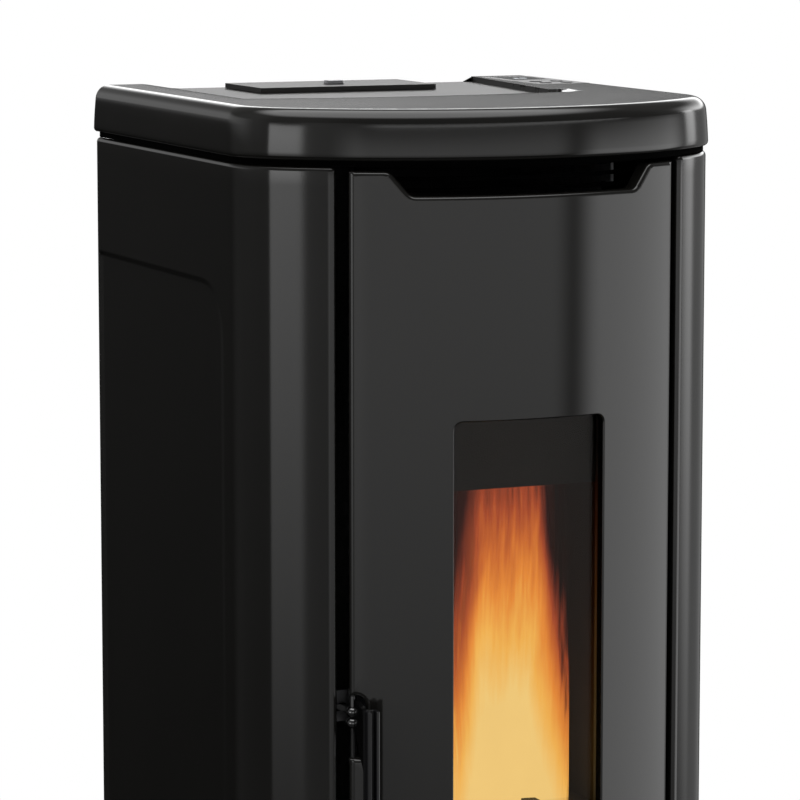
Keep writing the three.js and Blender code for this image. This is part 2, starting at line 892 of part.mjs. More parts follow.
function upright(side) {
  const outline = [
    new THREE.Vector2(uprightFrontY, baseTop + play),
    new THREE.Vector2(rearY - sheet - play, baseTop + play),
    new THREE.Vector2(rearY - sheet - play, coverBottom),
    new THREE.Vector2(rearY - coverSkin - play, coverBottom),
    new THREE.Vector2(rearY - coverSkin - play, hopperTop),
    new THREE.Vector2(uprightFrontY + uprightStep, hopperTop),
    new THREE.Vector2(uprightFrontY + uprightStep, fireTop + uprightOverFire),
    new THREE.Vector2(uprightFrontY, fireTop + uprightOverFire),
  ];
  const span = (near, far) => (side > 0 ? [near, far] : [-far, -near]);
  const plate = prismAlongX(outline, ...span(uprightInner, uprightInner + uprightThickness));
  const through = span(uprightInner - 1, uprightInner + uprightThickness + 1);
  const opening = (rearGap, length, z, height) => {
    const rear = rearY - rearGap;
    return box(...through, rear - length, rear, z, z + height);
  };
  const openings = [
    opening(lowOpeningRearGap, lowOpeningLength, lowOpeningZ, lowOpeningHeight),
    ...[sideOpeningZ, sideOpeningZ + sideOpeningPitch].map(
      (z) => opening(sideOpeningRearGap, sideOpeningLength, z, sideOpeningHeight),
    ),
  ];
  const runnerTop = drawerBottom + drawerRise - play;
  const runner = box(
    ...span(drawerHalfWidth - 12, uprightInner + 1),
    uprightFrontY,
    uprightFrontY + drawerLength,
    runnerTop - sheet,
    runnerTop,
  );
  const guide = box(
    ...span(drawerHalfWidth + play, drawerHalfWidth + play + sheet),
    uprightFrontY,
    uprightFrontY + drawerLength,
    runnerTop - sheet,
    runnerTop + 16,
  );
  return join(cutAll(plate, openings), runner, guide);
}

function airOutletGrille() {
  const half = notchTopHalf + grilleOverlap;
  const inset = grilleSetback;
  const top = bodyTop;
  const bottom = coverTop - notchDrop - grilleFall;
  const outer = frontPath(bowAngle(-half, inset), bowAngle(half, inset), inset, 7);
  const back = inset + grilleThickness;
  const inner = frontPath(bowAngle(-half, back), bowAngle(half, back), back, 7).reverse();
  const band = prism([...outer, ...inner], bottom, top);
  const armY = uprightFrontY + uprightStep;
  const slotHalf = half - grilleBorder;
  const pitch = (top - bottom - grilleEdge) / louvres;
  const slots = Array.from({ length: louvres }, (unused, i) => {
    const z = bottom + grilleEdge + i * pitch;
    return box(-slotHalf, slotHalf, apexY, armY, z, z + louvreSlot);
  });
  const innerX = uprightInner - play - uprightThickness;
  const arms = [-1, 1].map((side) => {
    const x0 = side > 0 ? innerX : -innerX - uprightThickness;
    const frontEdge = bowY(innerX, back - 1);
    return box(
      x0,
      x0 + uprightThickness,
      frontEdge,
      armY + grilleBorder,
      bottom,
      bottom + grilleFall,
    );
  });
  return join(cutAll(band, slots), ...arms);
}

function addCasing() {
  addPart(stove, 'top_cover', topCover(), paint);
  addPart(stove, 'left_side_panel', sidePanel(-1), paint);
  addPart(stove, 'right_side_panel', sidePanel(1), paint);
  addPart(stove, 'rear_panel', rearPanel(), blackPaint);
  addPart(stove, 'base_plate', basePlate(), blackPaint);
  for (const [name, [x, y]] of Object.entries(footPlaces())) {
    addPart(stove, name, foot(), rubber).position.set(x, y, 0);
  }
  addPart(stove, 'front_plinth', frontPlinth(), paint);
  addPart(stove, 'chassis_left', upright(-1), galvanised);
  addPart(stove, 'chassis_right', upright(1), galvanised);
  addPart(stove, 'air_outlet_grille', airOutletGrille(), blackPaint);
}

// ---------------------------------------------------------------- hopper lid

function addLid() {
  const group = groupAt(lidMiddle, lidAxisY, lidAxisZ);
  const plate = box(-lidLeft, lidRight, lidFrontY, lidRearY, dishFloor + play, coverTop);
  const half = lidKnuckleLength / 2;
  const across = (reach, radius, segments) => rod(
    [lidMiddle - reach, lidAxisY, lidAxisZ],
    [lidMiddle + reach, lidAxisY, lidAxisZ],
    radius,
    segments,
  );
  const barrel = across(half, lidPinRadius + lidKnuckleWall, 16);
  const strap = box(
    lidMiddle - half,
    lidMiddle + half,
    lidRearY - 1,
    lidAxisY,
    dishFloor + play,
    dishFloor + play + 2,
  );
  const bore = across(half + 1, lidPinRadius + play, 12);
  addMoved(group, 'hopper_lid', join(plate, barrel, strap).subtract(bore), paint);
  const pullY = lidFrontY + pullSetback;
  const pull = loft([
    { points: roundedRectangle(
      lidMiddle - pullWidth / 2,
      lidMiddle + pullWidth / 2,
      pullY - pullLength / 2,
      pullY + pullLength / 2,
      3,
    ),
    at: coverTop + play },
    { points: roundedRectangle(
      lidMiddle - pullWidth / 2 + 1,
      lidMiddle + pullWidth / 2 - 1,
      pullY - pullLength / 2 + 1,
      pullY + pullLength / 2 - 1,
      2,
    ),
    at: coverTop + pullHeight },
  ], rising);
  addMoved(group, 'lid_pull', pull, steel);
  addPart(stove, 'lid_hinge_pin', across(half + lidPinEnd, lidPinRadius, 12), steel);
}

// ---------------------------------------------------------------- door

function windowOutline(grow, radius) {
  const half = windowWidth / 2 + grow;
  return roundedRectangle(-half, half, windowBottom - grow, windowTop + grow, radius);
}

// The warm-air notch in the door's top edge: its sides slope, and its corners are rounded.
function notchOutline() {
  const bottom = coverTop - notchDrop;
  const slope = Math.atan2(doorTop - bottom, notchTopHalf - notchBottomHalf);
  const setback = notchRadius * Math.tan(slope / 2);
  const steps = 3;
  const side = [];
  for (let i = 0; i <= steps; i++) {
    const turn = slope * i / steps;
    side.push([
      notchBottomHalf - setback + notchRadius * Math.sin(turn),
      bottom + notchRadius * (1 - Math.cos(turn)),
    ]);
  }
  for (let i = steps; i >= 0; i--) {
    const turn = slope * i / steps;
    side.push([
      notchTopHalf + setback - notchRadius * Math.sin(turn),
      doorTop - notchRadius * (1 - Math.cos(turn)),
    ]);
  }
  const over = 1;
  side.push([notchTopHalf + setback, doorTop + over]);
  return [
    ...side.map(([x, z]) => new THREE.Vector2(x, z)),
    ...side.reverse().map(([x, z]) => new THREE.Vector2(-x, z)),
  ];
}

function doorSkin() {
  const skin = bowedSheet(doorHalf, doorBottom, doorTop, edgeReturn);
  const airNotch = prismAlongY(notchOutline(), apexY - 1, bowY(notchTopHalf, 0) + 5);
  const bezelWall = 2;
  const behindSkin = bowWeb(windowWidth, rearY, doorBottom, doorTop, sheet / 2);
  const reveal = prismAlongY(
    windowOutline(bezelWall, windowRadius + bezelWall),
    apexY - 1,
    glassFrontY - play,
  ).intersect(behindSkin);
  const opening = prismAlongY(windowOutline(0, windowRadius), apexY - 1, glassFrontY);
  const latchNotch = box(
    -doorHalf - 1,
    -doorHalf + latchNotchWidth,
    apexY,
    bowY(doorHalf, 0) + edgeReturn + 1,
    latchTop - latchNotchHeight,
    latchTop + 1.5,
  );
  const webs = [frameTop + play, frameBottom - play - stiffener].map(
    (z) => bowWeb(doorHalf - 20, bowY(doorHalf - 20, sheet) + 2, z, z + stiffener),
  );
  return join(skin, reveal, ...webs).subtract(opening).subtract(airNotch).subtract(latchNotch);
}

// A flat arm from the edge of the door frame to an eye round a vertical pin.
function doorArm(side, pin, eyeRadius, z0, z1) {
  const [pinX, pinY] = pin;
  const root = side * (frameHalfWidth - 8);
  const edge = side * frameHalfWidth;
  const points = [
    new THREE.Vector2(root, frameBackY),
    new THREE.Vector2(root, frameFrontY + 1),
    new THREE.Vector2(edge, frameFrontY + 1),
    new THREE.Vector2(pinX - side * 1, pinY - eyeRadius),
    new THREE.Vector2(pinX - side * 1, pinY + eyeRadius),
  ];
  const arm = prism(side > 0 ? points : points.reverse(), z0, z1);
  return arm.add(prism(circle(pinX, pinY, eyeRadius, 16), z0, z1));
}

function doorFrame() {
  const plate = prismAlongY(
    rectangle(-frameHalfWidth, frameHalfWidth, frameBottom, frameTop),
    frameFrontY,
    frameBackY,
    [windowOutline(4, windowRadius)],
  );
  const arms = hingeLevels().map(
    (z) => doorArm(1, [hingeX, hingeY], hingeLugRadius, z, z + hingeArm),
  );
  const lugs = [latchTop + 2.5, latchTop - latchNotchHeight - 1 - latchLug].map(
    (z) => doorArm(-1, [latchX, latchY], latchLugRadius, z, z + latchLug),
  );
  const hingeBore = rod([hingeX, hingeY, 0], [hingeX, hingeY, coverTop], hingePinRadius + play);
  const latchBore = rod([latchX, latchY, 0], [latchX, latchY, coverTop], hingePinRadius + play);
  return join(plate, ...arms, ...lugs).subtract(hingeBore).subtract(latchBore);
}

function hingeLevels() {
  return [frameTop - hingeEdge - hingeArm, frameBottom + hingeEdge];
}

function hingeBracket(armLevel) {
  const top = armLevel - play;
  const bottom = top - bracketThickness;
  const plateX = uprightInner + uprightThickness + play;
  const half = 3.4;
  const plate = box(plateX, plateX + 3, hingeY - half, hingeY + 34, bottom - 18, top);
  const arm = box(plateX, hingeX, hingeY - half, hingeY + half, bottom, top);
  const eye = prism(circle(hingeX, hingeY, hingeLugRadius - 1, 16), bottom, top);
  const pin = rod([hingeX, hingeY, bottom], [hingeX, hingeY, top + hingeArm + 4], hingePinRadius);
  return join(plate, arm, eye, pin);
}

function doorSeal() {
  const half = frameHalfWidth - sealInset;
  const low = frameBottom + sealInset;
  const high = frameTop - sealInset;
  const outer = roundedRectangle(-half, half, low, high, 12);
  const inner = roundedRectangle(
    -half + sealDiameter,
    half - sealDiameter,
    low + sealDiameter,
    high - sealDiameter,
    4,
  );
  return prismAlongY(outer, frameBackY + play, frameBackY + play + sealDiameter, [inner]);
}

function glassPane() {
  return prismAlongY(windowOutline(glassLap, 4), glassFrontY, glassBackY);
}

function glassGasket() {
  const inner = glassLap - gasketWidth;
  return prismAlongY(
    windowOutline(glassLap, 4),
    glassBackY + play,
    frameFrontY - play,
    [windowOutline(inner, windowRadius)],
  );
}

function latchHandle() {
  const bottom = latchTop - knuckleHeight;
  const collar = (z) => [
    [knuckleRadius - collarRounding, z],
    [knuckleRadius, z + collarRounding],
    [knuckleRadius, z + collarHeight - collarRounding],
    [knuckleRadius - collarRounding, z + collarHeight],
  ];
  const knuckle = lathe([
    [0, bottom],
    ...collar(bottom),
    ...collar(bottom + collarHeight),
    [knuckleNeck, bottom + 2 * collarHeight],
    [knuckleNeck, latchTop],
    [0, latchTop],
  ], 20).translate([latchX, latchY, 0]);
  const gripY = apexY + gripSetback;
  const armBackY = latchY - knuckleRadius + 3;
  const armFrontY = gripY + gripWidth / 2 + play;
  const gripTop = coverTop - gripTopDrop;
  const armBottom = latchTop - latchNotchHeight;
  const armHalf = armThickness / 2;
  const armX = (latchX + gripX) / 2 + 2;
  const arm = prismAlongX([
    new THREE.Vector2(armFrontY, armBottom - armFall),
    new THREE.Vector2(armBackY, bottom + 2),
    new THREE.Vector2(armBackY, latchTop - 3),
    new THREE.Vector2(armFrontY, gripTop - 3),
  ], armX - armHalf, armX + armHalf);
  const tongueZ = latchTop - knuckleHeight / 2 - tongueHeight / 2;
  const tongue = box(
    latchX - tongueWidth / 2,
    latchX + tongueWidth / 2,
    latchY,
    latchY + tongueReach,
    tongueZ,
    tongueZ + tongueHeight,
  );
  const hook = box(
    latchX - tongueHook,
    latchX + tongueWidth / 2,
    latchY + tongueReach - tongueWidth,
    latchY + tongueReach,
    tongueZ,
    tongueZ + tongueHeight,
  );
  const bore = rod([latchX, latchY, 0], [latchX, latchY, coverTop], hingePinRadius + play);
  return join(knuckle, arm, tongue, hook).subtract(bore);
}

function strikePlate() {
  const sweep = Math.hypot(tongueReach, tongueHook);
  const frontFace = latchY + sweep + play;
  const z = latchTop - knuckleHeight / 2;
  const inner = -(uprightInner + uprightThickness + play);
  const plate = box(latchX - tongueHook - 2, inner, frontFace, frontFace + 4, z - 15, z + 15);
  const flange = box(inner - 3, inner, frontFace, frontFace + 30, z - 15, z + 15);
  return plate.add(flange);
}

function addDoor() {
  const group = groupAt(hingeX, hingeY, doorBottom);
  addMoved(group, 'door_skin', doorSkin(), paint);
  addMoved(group, 'door_frame', doorFrame(), castIron);
  addMoved(group, 'window_glass', glassPane(), glass);
  addMoved(group, 'glass_gasket', glassGasket(), rope);
  addMoved(group, 'door_seal', doorSeal(), rope);
  const pinTop = latchTop + 2.5 + latchLug;
  const pinBottom = latchTop - latchNotchHeight - 1 - latchLug;
  const pin = rod([latchX, latchY, pinBottom], [latchX, latchY, pinTop], hingePinRadius);
  addMoved(group, 'latch_pin', pin, steel);
  const handle = groupAt(latchX, latchY, latchTop);
  addMoved(handle, 'latch_handle', latchHandle(), glossBlack);
  const gripTop = coverTop - gripTopDrop;
  const gripY = apexY + gripSetback;
  const gripHalf = gripWidth / 2;
  const bar = prism(
    roundedRectangle(-gripHalf, gripHalf, -gripHalf, gripHalf, gripRounding),
    0,
    gripLength,
  );
  const groove = box(
    -gripGrooveWidth / 2,
    gripGrooveWidth / 2,
    -gripHalf - 1,
    gripGrooveDepth - gripHalf,
    -1,
    gripLength + 1,
  );
  const grip = bar.subtract(groove);
  const gripMesh = addPart(handle, 'handle_grip', grip, glossBlack);
  gripMesh.position.set(gripX - latchX, gripY - latchY, gripTop - gripLength - latchTop);
  const [upper, lower] = hingeLevels();
  addPart(stove, 'hinge_bracket_upper', hingeBracket(upper), steel);
  addPart(stove, 'hinge_bracket_lower', hingeBracket(lower), steel);
  addPart(stove, 'strike_plate', strikePlate(), steel);
}

// ---------------------------------------------------------------- firebox

function chuteAxis() {
  const start = chuteTop - chuteEntrySink;
  const top = new THREE.Vector2(augerHeadY + chuteEntry, start);
  const bottom = new THREE.Vector2(linerFrontY - chuteEntrySink, start - chuteFall);
  return [top, bottom];
}

// The chute's sloped square tube, grown by a margin and lengthened at both ends.
function chuteBar(grow, stretch) {
  const [top, bottom] = chuteAxis();
  const along = bottom.clone().sub(top);
  const length = along.length() + 2 * stretch;
  const size = chuteSize + 2 * grow;
  const geometry = new THREE.BoxGeometry(size, size, length);
  geometry.rotateX(Math.atan2(along.x, -along.y));
  geometry.translate(0, (top.x + bottom.x) / 2, (top.y + bottom.y) / 2);
  return solid(geometry);
}

function firebox() {
  const half = fireHalfWidth;
  const frontY = fireFrontY + fireWall;
  const shell = box(-half, half, fireFrontY + 1, fireRearY, fireBottom, fireTop);
  const flange = box(
    -uprightInner + play,
    uprightInner - play,
    fireFrontY,
    frontY,
    fireBottom - 8,
    fireTop + 8,
  );
  const cavity = box(
    -half + fireWall,
    half - fireWall,
    frontY,
    fireRearY - fireWall,
    fireBottom + fireWall,
    fireTop - fireWall,
  );
  const mouthTop = mouthBottom + mouthHeight;
  const mouth = box(-mouthHalfWidth, mouthHalfWidth, fireFrontY - 1, frontY + 1, mouthBottom, mouthTop);
  const ashWall = 3;
  const ashHalf = ashMouthWidth / 2;
  const ashDuctBottom = drawerBottom + drawerRise + drawerHeight + 5;
  const ashDuct = box(
    -ashHalf - ashWall,
    ashHalf + ashWall,
    potY - ashMouthDepth / 2 - ashWall,
    potY + ashMouthDepth / 2 + ashWall,
    ashDuctBottom,
    fireBottom + 1,
  );
  const ashHole = box(
    -ashHalf,
    ashHalf,
    potY - ashMouthDepth / 2,
    potY + ashMouthDepth / 2,
    ashDuctBottom - 1,
    fireBottom + fireWall + 1,
  );
  const beyond = fireRearY + 1;
  const inside = fireRearY - fireWall - 1;
  const smokeHole = box(
    smokeX0 + smokeLip,
    smokeX1 - smokeLip,
    inside,
    beyond,
    smokeTop - smokeMouthHeight,
    smokeTop - smokeLip,
  );
  const rearHole = (x, z, radius, segments) => (
    rod([x, inside, z], [x, beyond, z], radius, segments)
  );
  return cutAll(join(shell, flange, ashDuct), [
    cavity,
    mouth,
    ashHole,
    smokeHole,
    rearHole(intakeX, intakeHeight, intakeRadius + play, 20),
    rearHole(0, igniterZ, igniterRadius + 2, 12),
    chuteBar(play, chuteSize),
  ]);
}

function fireboxLiner() {
  const half = fireHalfWidth - fireWall - play;
  const bottom = shelfHeight + shelfThickness + play;
  const top = mouthBottom + mouthHeight + 20;
  const slab = box(-half, half, linerFrontY, linerFrontY + linerThickness, bottom, top);
  let liner = slab;
  const grooves = 7;
  const pitch = 2 * half / (grooves + 1);
  for (let i = 1; i <= grooves; i++) {
    const x = -half + i * pitch;
    liner = liner.subtract(box(x - 3, x + 3, linerFrontY - 1, linerFrontY + 3, bottom - 1, top + 1));
  }
  return liner.subtract(chuteBar(play, chuteSize));
}

function bafflePlate() {
  const half = fireHalfWidth - fireWall - play;
  const rear = linerFrontY - play;
  const front = fireFrontY + fireWall + baffleSetback;
  const high = fireTop - baffleDrop;
  const low = high - baffleFall;
  return prismAlongX([
    new THREE.Vector2(front, high),
    new THREE.Vector2(rear, low),
    new THREE.Vector2(rear, low + baffleThickness),
    new THREE.Vector2(front, high + baffleThickness),
  ], -half, half);
}

function brazierShelf() {
  const half = fireHalfWidth - fireWall - play;
  const front = fireFrontY + fireWall + play;
  const rear = fireRearY - fireWall - play;
  const shelfOutline = rectangle(-half, half, front, rear);
  const gap = play + 0.7;
  const hole = rectangle(
    -potWidth / 2 - gap,
    potWidth / 2 + gap,
    potY - potDepth / 2 - gap,
    potY + potDepth / 2 + gap,
  );
  return prism(shelfOutline, shelfHeight, shelfHeight + shelfThickness, [hole]);
}

function brazier() {
  const rimBottom = shelfHeight + shelfThickness + play;
  const rimTop = rimBottom + 4;
  const bottom = rimTop - potHeight;
  const cup = (grow, z0, z1) => loft([
    { points: roundedRectangle(
      -potWidth / 2 + potTaper - grow,
      potWidth / 2 - potTaper + grow,
      potY - potDepth / 2 + potTaper - grow,
      potY + potDepth / 2 - potTaper + grow,
      8,
    ),
    at: z0 },
    { points: roundedRectangle(
      -potWidth / 2 - grow,
      potWidth / 2 + grow,
      potY - potDepth / 2 - grow,
      potY + potDepth / 2 + grow,
      8,
    ),
    at: z1 },
  ], rising);
  const outer = cup(0, bottom, rimTop);
  const rim = prism(roundedRectangle(
    -potWidth / 2 - potRim,
    potWidth / 2 + potRim,
    potY - potDepth / 2 - potRim,
    potY + potDepth / 2 + potRim,
    8,
  ), rimBottom, rimTop);
  let pot = outer.add(rim).subtract(cup(-potWall, bottom + potWall, rimTop + potWall));
  for (let column = -1; column <= 1; column++) {
    for (let row = -1; row <= 1; row++) {
      const x = column * 20;
      const y = potY + row * 16;
      pot = pot.subtract(rod([x, y, bottom - 1], [x, y, bottom + potWall + 1], 3.5, 6));
    }
  }
  return pot;
}

function pelletChute() {
  const tube = chuteBar(-play, 0).subtract(chuteBar(-play - chuteWall, 5));
  const nose = box(-chuteSize, chuteSize, apexY, linerFrontY - chuteNose, 0, coverTop);
  const head = box(-chuteSize, chuteSize, apexY, rearY, chuteTop, coverTop);
  return cutAll(tube, [nose, head]);
}

function igniter() {
  const flangeY = fireRearY + play;
  const tip = potY + potDepth / 2 + 1;
  const stem = rod([0, tip, igniterZ], [0, flangeY + 40, igniterZ], igniterRadius, 12);
  const flange = rod([0, flangeY, igniterZ], [0, flangeY + 3, igniterZ], 13, 16);
  return stem.add(flange);
}

function heatExchanger() {
  const half = fireHalfWidth - 10;
  const base = fireTop + play;
  const front = fireFrontY + fireWall + play;
  const rear = fireRearY;
  let block = box(-half, half, front, rear, base, base + 4);
  const pitch = (2 * half - finThickness) / (finCount - 1);
  for (let i = 0; i < finCount; i++) {
    const x = -half + i * pitch;
    block = block.add(box(x, x + finThickness, front, rear, base + 3, base + 4 + finHeight));
  }
  return block;
}

function addFirebox() {
  addPart(stove, 'firebox', firebox(), castIron);
  addPart(stove, 'firebox_liner', fireboxLiner(), vermiculite);
  addPart(stove, 'baffle_plate', bafflePlate(), vermiculite);
  addPart(stove, 'brazier_shelf', brazierShelf(), castIron);
  const pot = groupAt(0, potY, shelfHeight);
  addMoved(pot, 'brazier', brazier(), castIron);
  addPart(stove, 'igniter', igniter(), steel);
  addPart(stove, 'heat_exchanger', heatExchanger(), steel);
  addPart(stove, 'pellet_chute', pelletChute(), steel);
}

// ---------------------------------------------------------------- fuel feed

// Point on the auger's axis at a distance up from its foot.
function onAuger(distance) {
  const share = distance / augerLength;
  return [0, augerFootY - share * augerRun, augerFootHeight + share * augerRise];
}

function hopper() {
  const level = (grow) => {
    const outlet = outletSize / 2 + grow;
    const half = uprightInner - play - hopperWall + grow;
    const front = hopperFrontY - grow;
    const rear = hopperRearY - hopperWall + grow;
    const small = rectangle(-outlet, outlet, inletY - outlet, inletY + outlet);
    const wide = rectangle(-half, half, front, rear);
    return { small, wide };
  };
  const outer = level(hopperWall);
  const inner = level(0);
  const bottom = inletHeight + play;
  const neck = bottom + 14;
  const body = loft([
    { points: outer.small, at: bottom },
    { points: outer.small, at: neck },
    { points: outer.wide, at: hopperConeTop },
    { points: outer.wide, at: hopperTop },
  ], rising);
  const room = loft([
    { points: inner.small, at: bottom - 1 },
    { points: inner.small, at: neck },
    { points: inner.wide, at: hopperConeTop },
    { points: inner.wide, at: hopperTop + 1 },
  ], rising);
  return body.subtract(room);
}

function hopperGrate() {
  const half = uprightInner - play - hopperWall - play;
  const front = hopperFrontY + play;
  const rear = hopperRearY - hopperWall - play;
  const z = hopperTop - 26;
  const plate = box(-half, half, front, rear, z, z + 2);
  const count = 8;
  const margin = 14;
  const pitch = (2 * half - margin) / count;
  const slots = [];
  for (let i = 0; i < count; i++) {
    const x = -half + margin + i * pitch;
    slots.push(box(x, x + pitch - margin / 2, front + margin, rear - margin, z - 1, z + 3));
  }
  return cutAll(plate, slots);
}

function augerTube() {
  const outer = rod(onAuger(0), onAuger(augerLength), augerTubeRadius, 24);
  const wall = augerTubeWall;
  const inner = rod(onAuger(wall), onAuger(augerLength - wall), augerTubeRadius - wall, 24);
  const shaftHole = rod(onAuger(-1), onAuger(wall + 1), augerShaftRadius + play, 12);
  const outletHalf = outletSize / 2;
  const axisZ = augerFootHeight + (augerFootY - inletY) * augerRise / augerRun;
  const collar = box(
    -outletHalf,
    outletHalf,
    inletY - outletHalf,
    inletY + outletHalf,
    axisZ,
    inletHeight,
  );
  const collarHole = box(
    -outletHalf + wall + 2,
    outletHalf - wall - 2,
    inletY - outletHalf + wall + 2,
    inletY + outletHalf - wall - 2,
    axisZ,
    inletHeight + 1,
  );
  const spoutY = augerHeadY + chuteEntry;
  const spoutBottom = chuteTop + play;
  const spout = box(
    -spoutHalf - wall,
    spoutHalf + wall,
    spoutY - spoutHalf,
    spoutY + spoutHalf,
    spoutBottom,
    augerHeadHeight - 17,
  );
  const spoutHole = box(
    -spoutHalf,
    spoutHalf,
    spoutY - spoutHalf + wall,
    spoutY + spoutHalf - wall,
    spoutBottom - 1,
    augerHeadHeight - 17,
  );
  return join(outer, collar, spout)
    .subtract(inner)
    .subtract(collarHole)
    .subtract(spoutHole)
    .subtract(shaftHole);
}

// The screw along its own +Z: a core with one helical flight.
function augerScrew() {
  const wall = augerTubeWall;
  const start = wall + 6;
  const end = augerLength - wall - 6;
  const core = rod([0, 0, wall + 1], [0, 0, augerLength - wall - 1], augerCoreRadius, 12);
  const shaft = rod([0, 0, -14], [0, 0, wall + 2], augerShaftRadius, 12);
  const stepsPerTurn = 10;
  const flight = 3;
  const turns = (end - start - flight) / augerPitch;
  const steps = Math.floor(turns * stepsPerTurn);
  const rings = [];
  for (let i = 0; i <= steps; i++) {
    const angle = 2 * Math.PI * i / stepsPerTurn;
    const z = start + augerPitch * i / stepsPerTurn;
    const c = Math.cos(angle);
    const s = Math.sin(angle);
    const inner = augerCoreRadius - 2;
    const outer = augerFlightRadius;
    rings.push(
      [inner * c, inner * s, z],
      [outer * c, outer * s, z],
      [outer * c, outer * s, z + flight],
      [inner * c, inner * s, z + flight],
    );
  }
  const index = [];
  for (let i = 0; i < steps; i++) {
    for (let k = 0; k < 4; k++) {
      const a = 4 * i + k;
      const b = 4 * i + (k + 1) % 4;
      index.push(a, b, b + 4, a, b + 4, a + 4);
    }
  }
  const last = 4 * steps;
  index.push(0, 2, 1, 0, 3, 2, last, last + 1, last + 2, last, last + 2, last + 3);
  const geometry = new THREE.BufferGeometry();
  geometry.setAttribute('position', new THREE.Float32BufferAttribute(rings.flat(), 3));
  geometry.setIndex(index);
  return join(core, shaft, solid(geometry));
}

// The gear motor along its own -Z, below the foot of the auger.
function augerMotor() {
  const gearbox = rod([0, 0, -play - 22], [0, 0, -play], augerMotorRadius, 20);
  const can = rod([0, 0, -augerMotorLength], [0, 0, -play - 21], augerMotorRadius - 9, 20);
  const socket = rod([0, 0, -16], [0, 0, 1], augerShaftRadius + play, 12);
  return gearbox.add(can).subtract(socket);
}

function addFuelFeed() {
  addPart(stove, 'hopper', hopper(), galvanised);
  addPart(stove, 'hopper_grate', hopperGrate(), steel);
  addPart(stove, 'auger_tube', augerTube(), steel);
  const group = groupAt(...onAuger(0));
  group.rotation.x = Math.atan2(augerRun, augerRise);
  addPart(group, 'auger_screw', augerScrew(), steel);
  addPart(group, 'auger_motor', augerMotor(), blackPaint);
}

// ---------------------------------------------------------------- exhaust and combustion air

// Leads the smoke from the top of the firebox down behind it and back to the fan's eye.
function smokeDuct() {
  const wall = smokeDuctWall;
  const front = fireRearY + play;
  const rear = exhaustAxisY + impellerEye + 8;
  const legRear = front + smokeLegDepth;
  const low = exhaustAxisZ - smokeDuctHeight / 2;
  const high = exhaustAxisZ + smokeDuctHeight / 2;
  const outer = join(
    box(smokeX0, smokeX1, front, legRear, low, smokeTop),
    box(smokeX0, smokeX1, front, rear, low, high),
  );
  const inner = join(
    box(smokeX0 + wall, smokeX1 - wall, front + wall, legRear - wall, low + wall, smokeTop - wall),
    box(smokeX0 + wall, smokeX1 - wall, front + wall, rear - wall, low + wall, high - wall),
  );
  const mouth = box(
    smokeX0 + smokeLip,
    smokeX1 - smokeLip,
    front - 1,
    front + wall + 1,
    smokeTop - smokeMouthHeight,
    smokeTop - smokeLip,
  );
  const eye = rod(
    [smokeX0 - 1, exhaustAxisY, exhaustAxisZ],
    [smokeX0 + wall + 1, exhaustAxisY, exhaustAxisZ],
    impellerEye,
    20,
  );
  return cutAll(outer, [inner, mouth, eye]);
}

// A round bar along the exhaust fan's axis, from one x to another.
function acrossFan(x0, x1, radius, segments) {
  return rod(
    [x0, exhaustAxisY, exhaustAxisZ],
    [x1, exhaustAxisY, exhaustAxisZ],
    radius,
    segments,
  );
}

function exhaustHousing() {
  const wall = exhaustWall;
  const drum = acrossFan(voluteX0, voluteX1, voluteRadius, 24);
  const outletZ0 = flueHeight - flueRadius;
  const channelEnd = flueJointY - exhaustChannelGap;
  const stubStart = channelEnd - wall;
  const channel = box(voluteX0, voluteX1, exhaustAxisY, channelEnd, outletZ0, exhaustAxisZ);
  const stub = rod(
    [exhaustX, stubStart, flueHeight],
    [exhaustX, flueJointY - play, flueHeight],
    flueRadius + play + wall,
    28,
  );
  const rooms = [
    acrossFan(voluteX0 + wall, voluteX1 - wall, voluteRadius - wall, 24),
    box(
      voluteX0 + wall,
      voluteX1 - wall,
      exhaustAxisY,
      channelEnd - wall,
      outletZ0 + wall,
      exhaustAxisZ - wall,
    ),
    box(
      voluteX0 + wall,
      voluteX1 - wall,
      exhaustAxisY,
      channelEnd + wall,
      flueHeight - flueRadius * 0.75,
      flueHeight + flueRadius * 0.75,
    ),
    rod(
      [exhaustX, channelEnd, flueHeight],
      [exhaustX, flueJointY + 1, flueHeight],
      flueRadius + play,
      28,
    ),
    acrossFan(voluteX1 - wall - 1, voluteX1 + 1, impellerEye, 20),
    acrossFan(voluteX0 - 1, voluteX0 + wall + 1, exhaustShaftRadius + play, 12),
  ];
  return cutAll(join(drum, channel, stub), rooms);
}

// The impeller along its own X, from the hub's centre; its shaft points to -X.
function exhaustImpeller() {
  const width = voluteWidth - 16;
  const half = width / 2;
  const along = (x0, x1, radius, segments) => rod([x0, 0, 0], [x1, 0, 0], radius, segments);
  let wheel = join(
    along(-half, -half + 2, impellerRadius, 24),
    along(-half, half, 11, 12),
    along(-half - 8 - exhaustMotorLength / 3, 0, exhaustShaftRadius, 12),
  );
  for (let i = 0; i < impellerBlades; i++) {
    const blade = new THREE.BoxGeometry(width - 1, 2, impellerRadius - 12);
    blade.translate(0, 0, (impellerRadius + 8) / 2);
    blade.rotateX(2 * Math.PI * i / impellerBlades);
    wheel = wheel.add(solid(blade));
  }
  return wheel;
}

function exhaustMotor() {
  const end = voluteX0 - play;
  const socket = end - exhaustMotorLength / 2;
  const can = acrossFan(end - exhaustMotorLength, end, exhaustMotorRadius, 20);
  return can.subtract(acrossFan(socket, end + 1, exhaustShaftRadius + play, 12));
}

function roundPipe(x, z, radius, wall, y0, y1, segments) {
  const outer = rod([x, y0, z], [x, y1, z], radius, segments);
  return outer.subtract(rod([x, y0 - 1, z], [x, y1 + 1, z], radius - wall, segments));
}

function flueCollar() {
  const start = flueJointY - flueOverlap;
  return roundPipe(exhaustX, flueHeight, flueRadius, flueWall, start, flueEndY, 28);
}

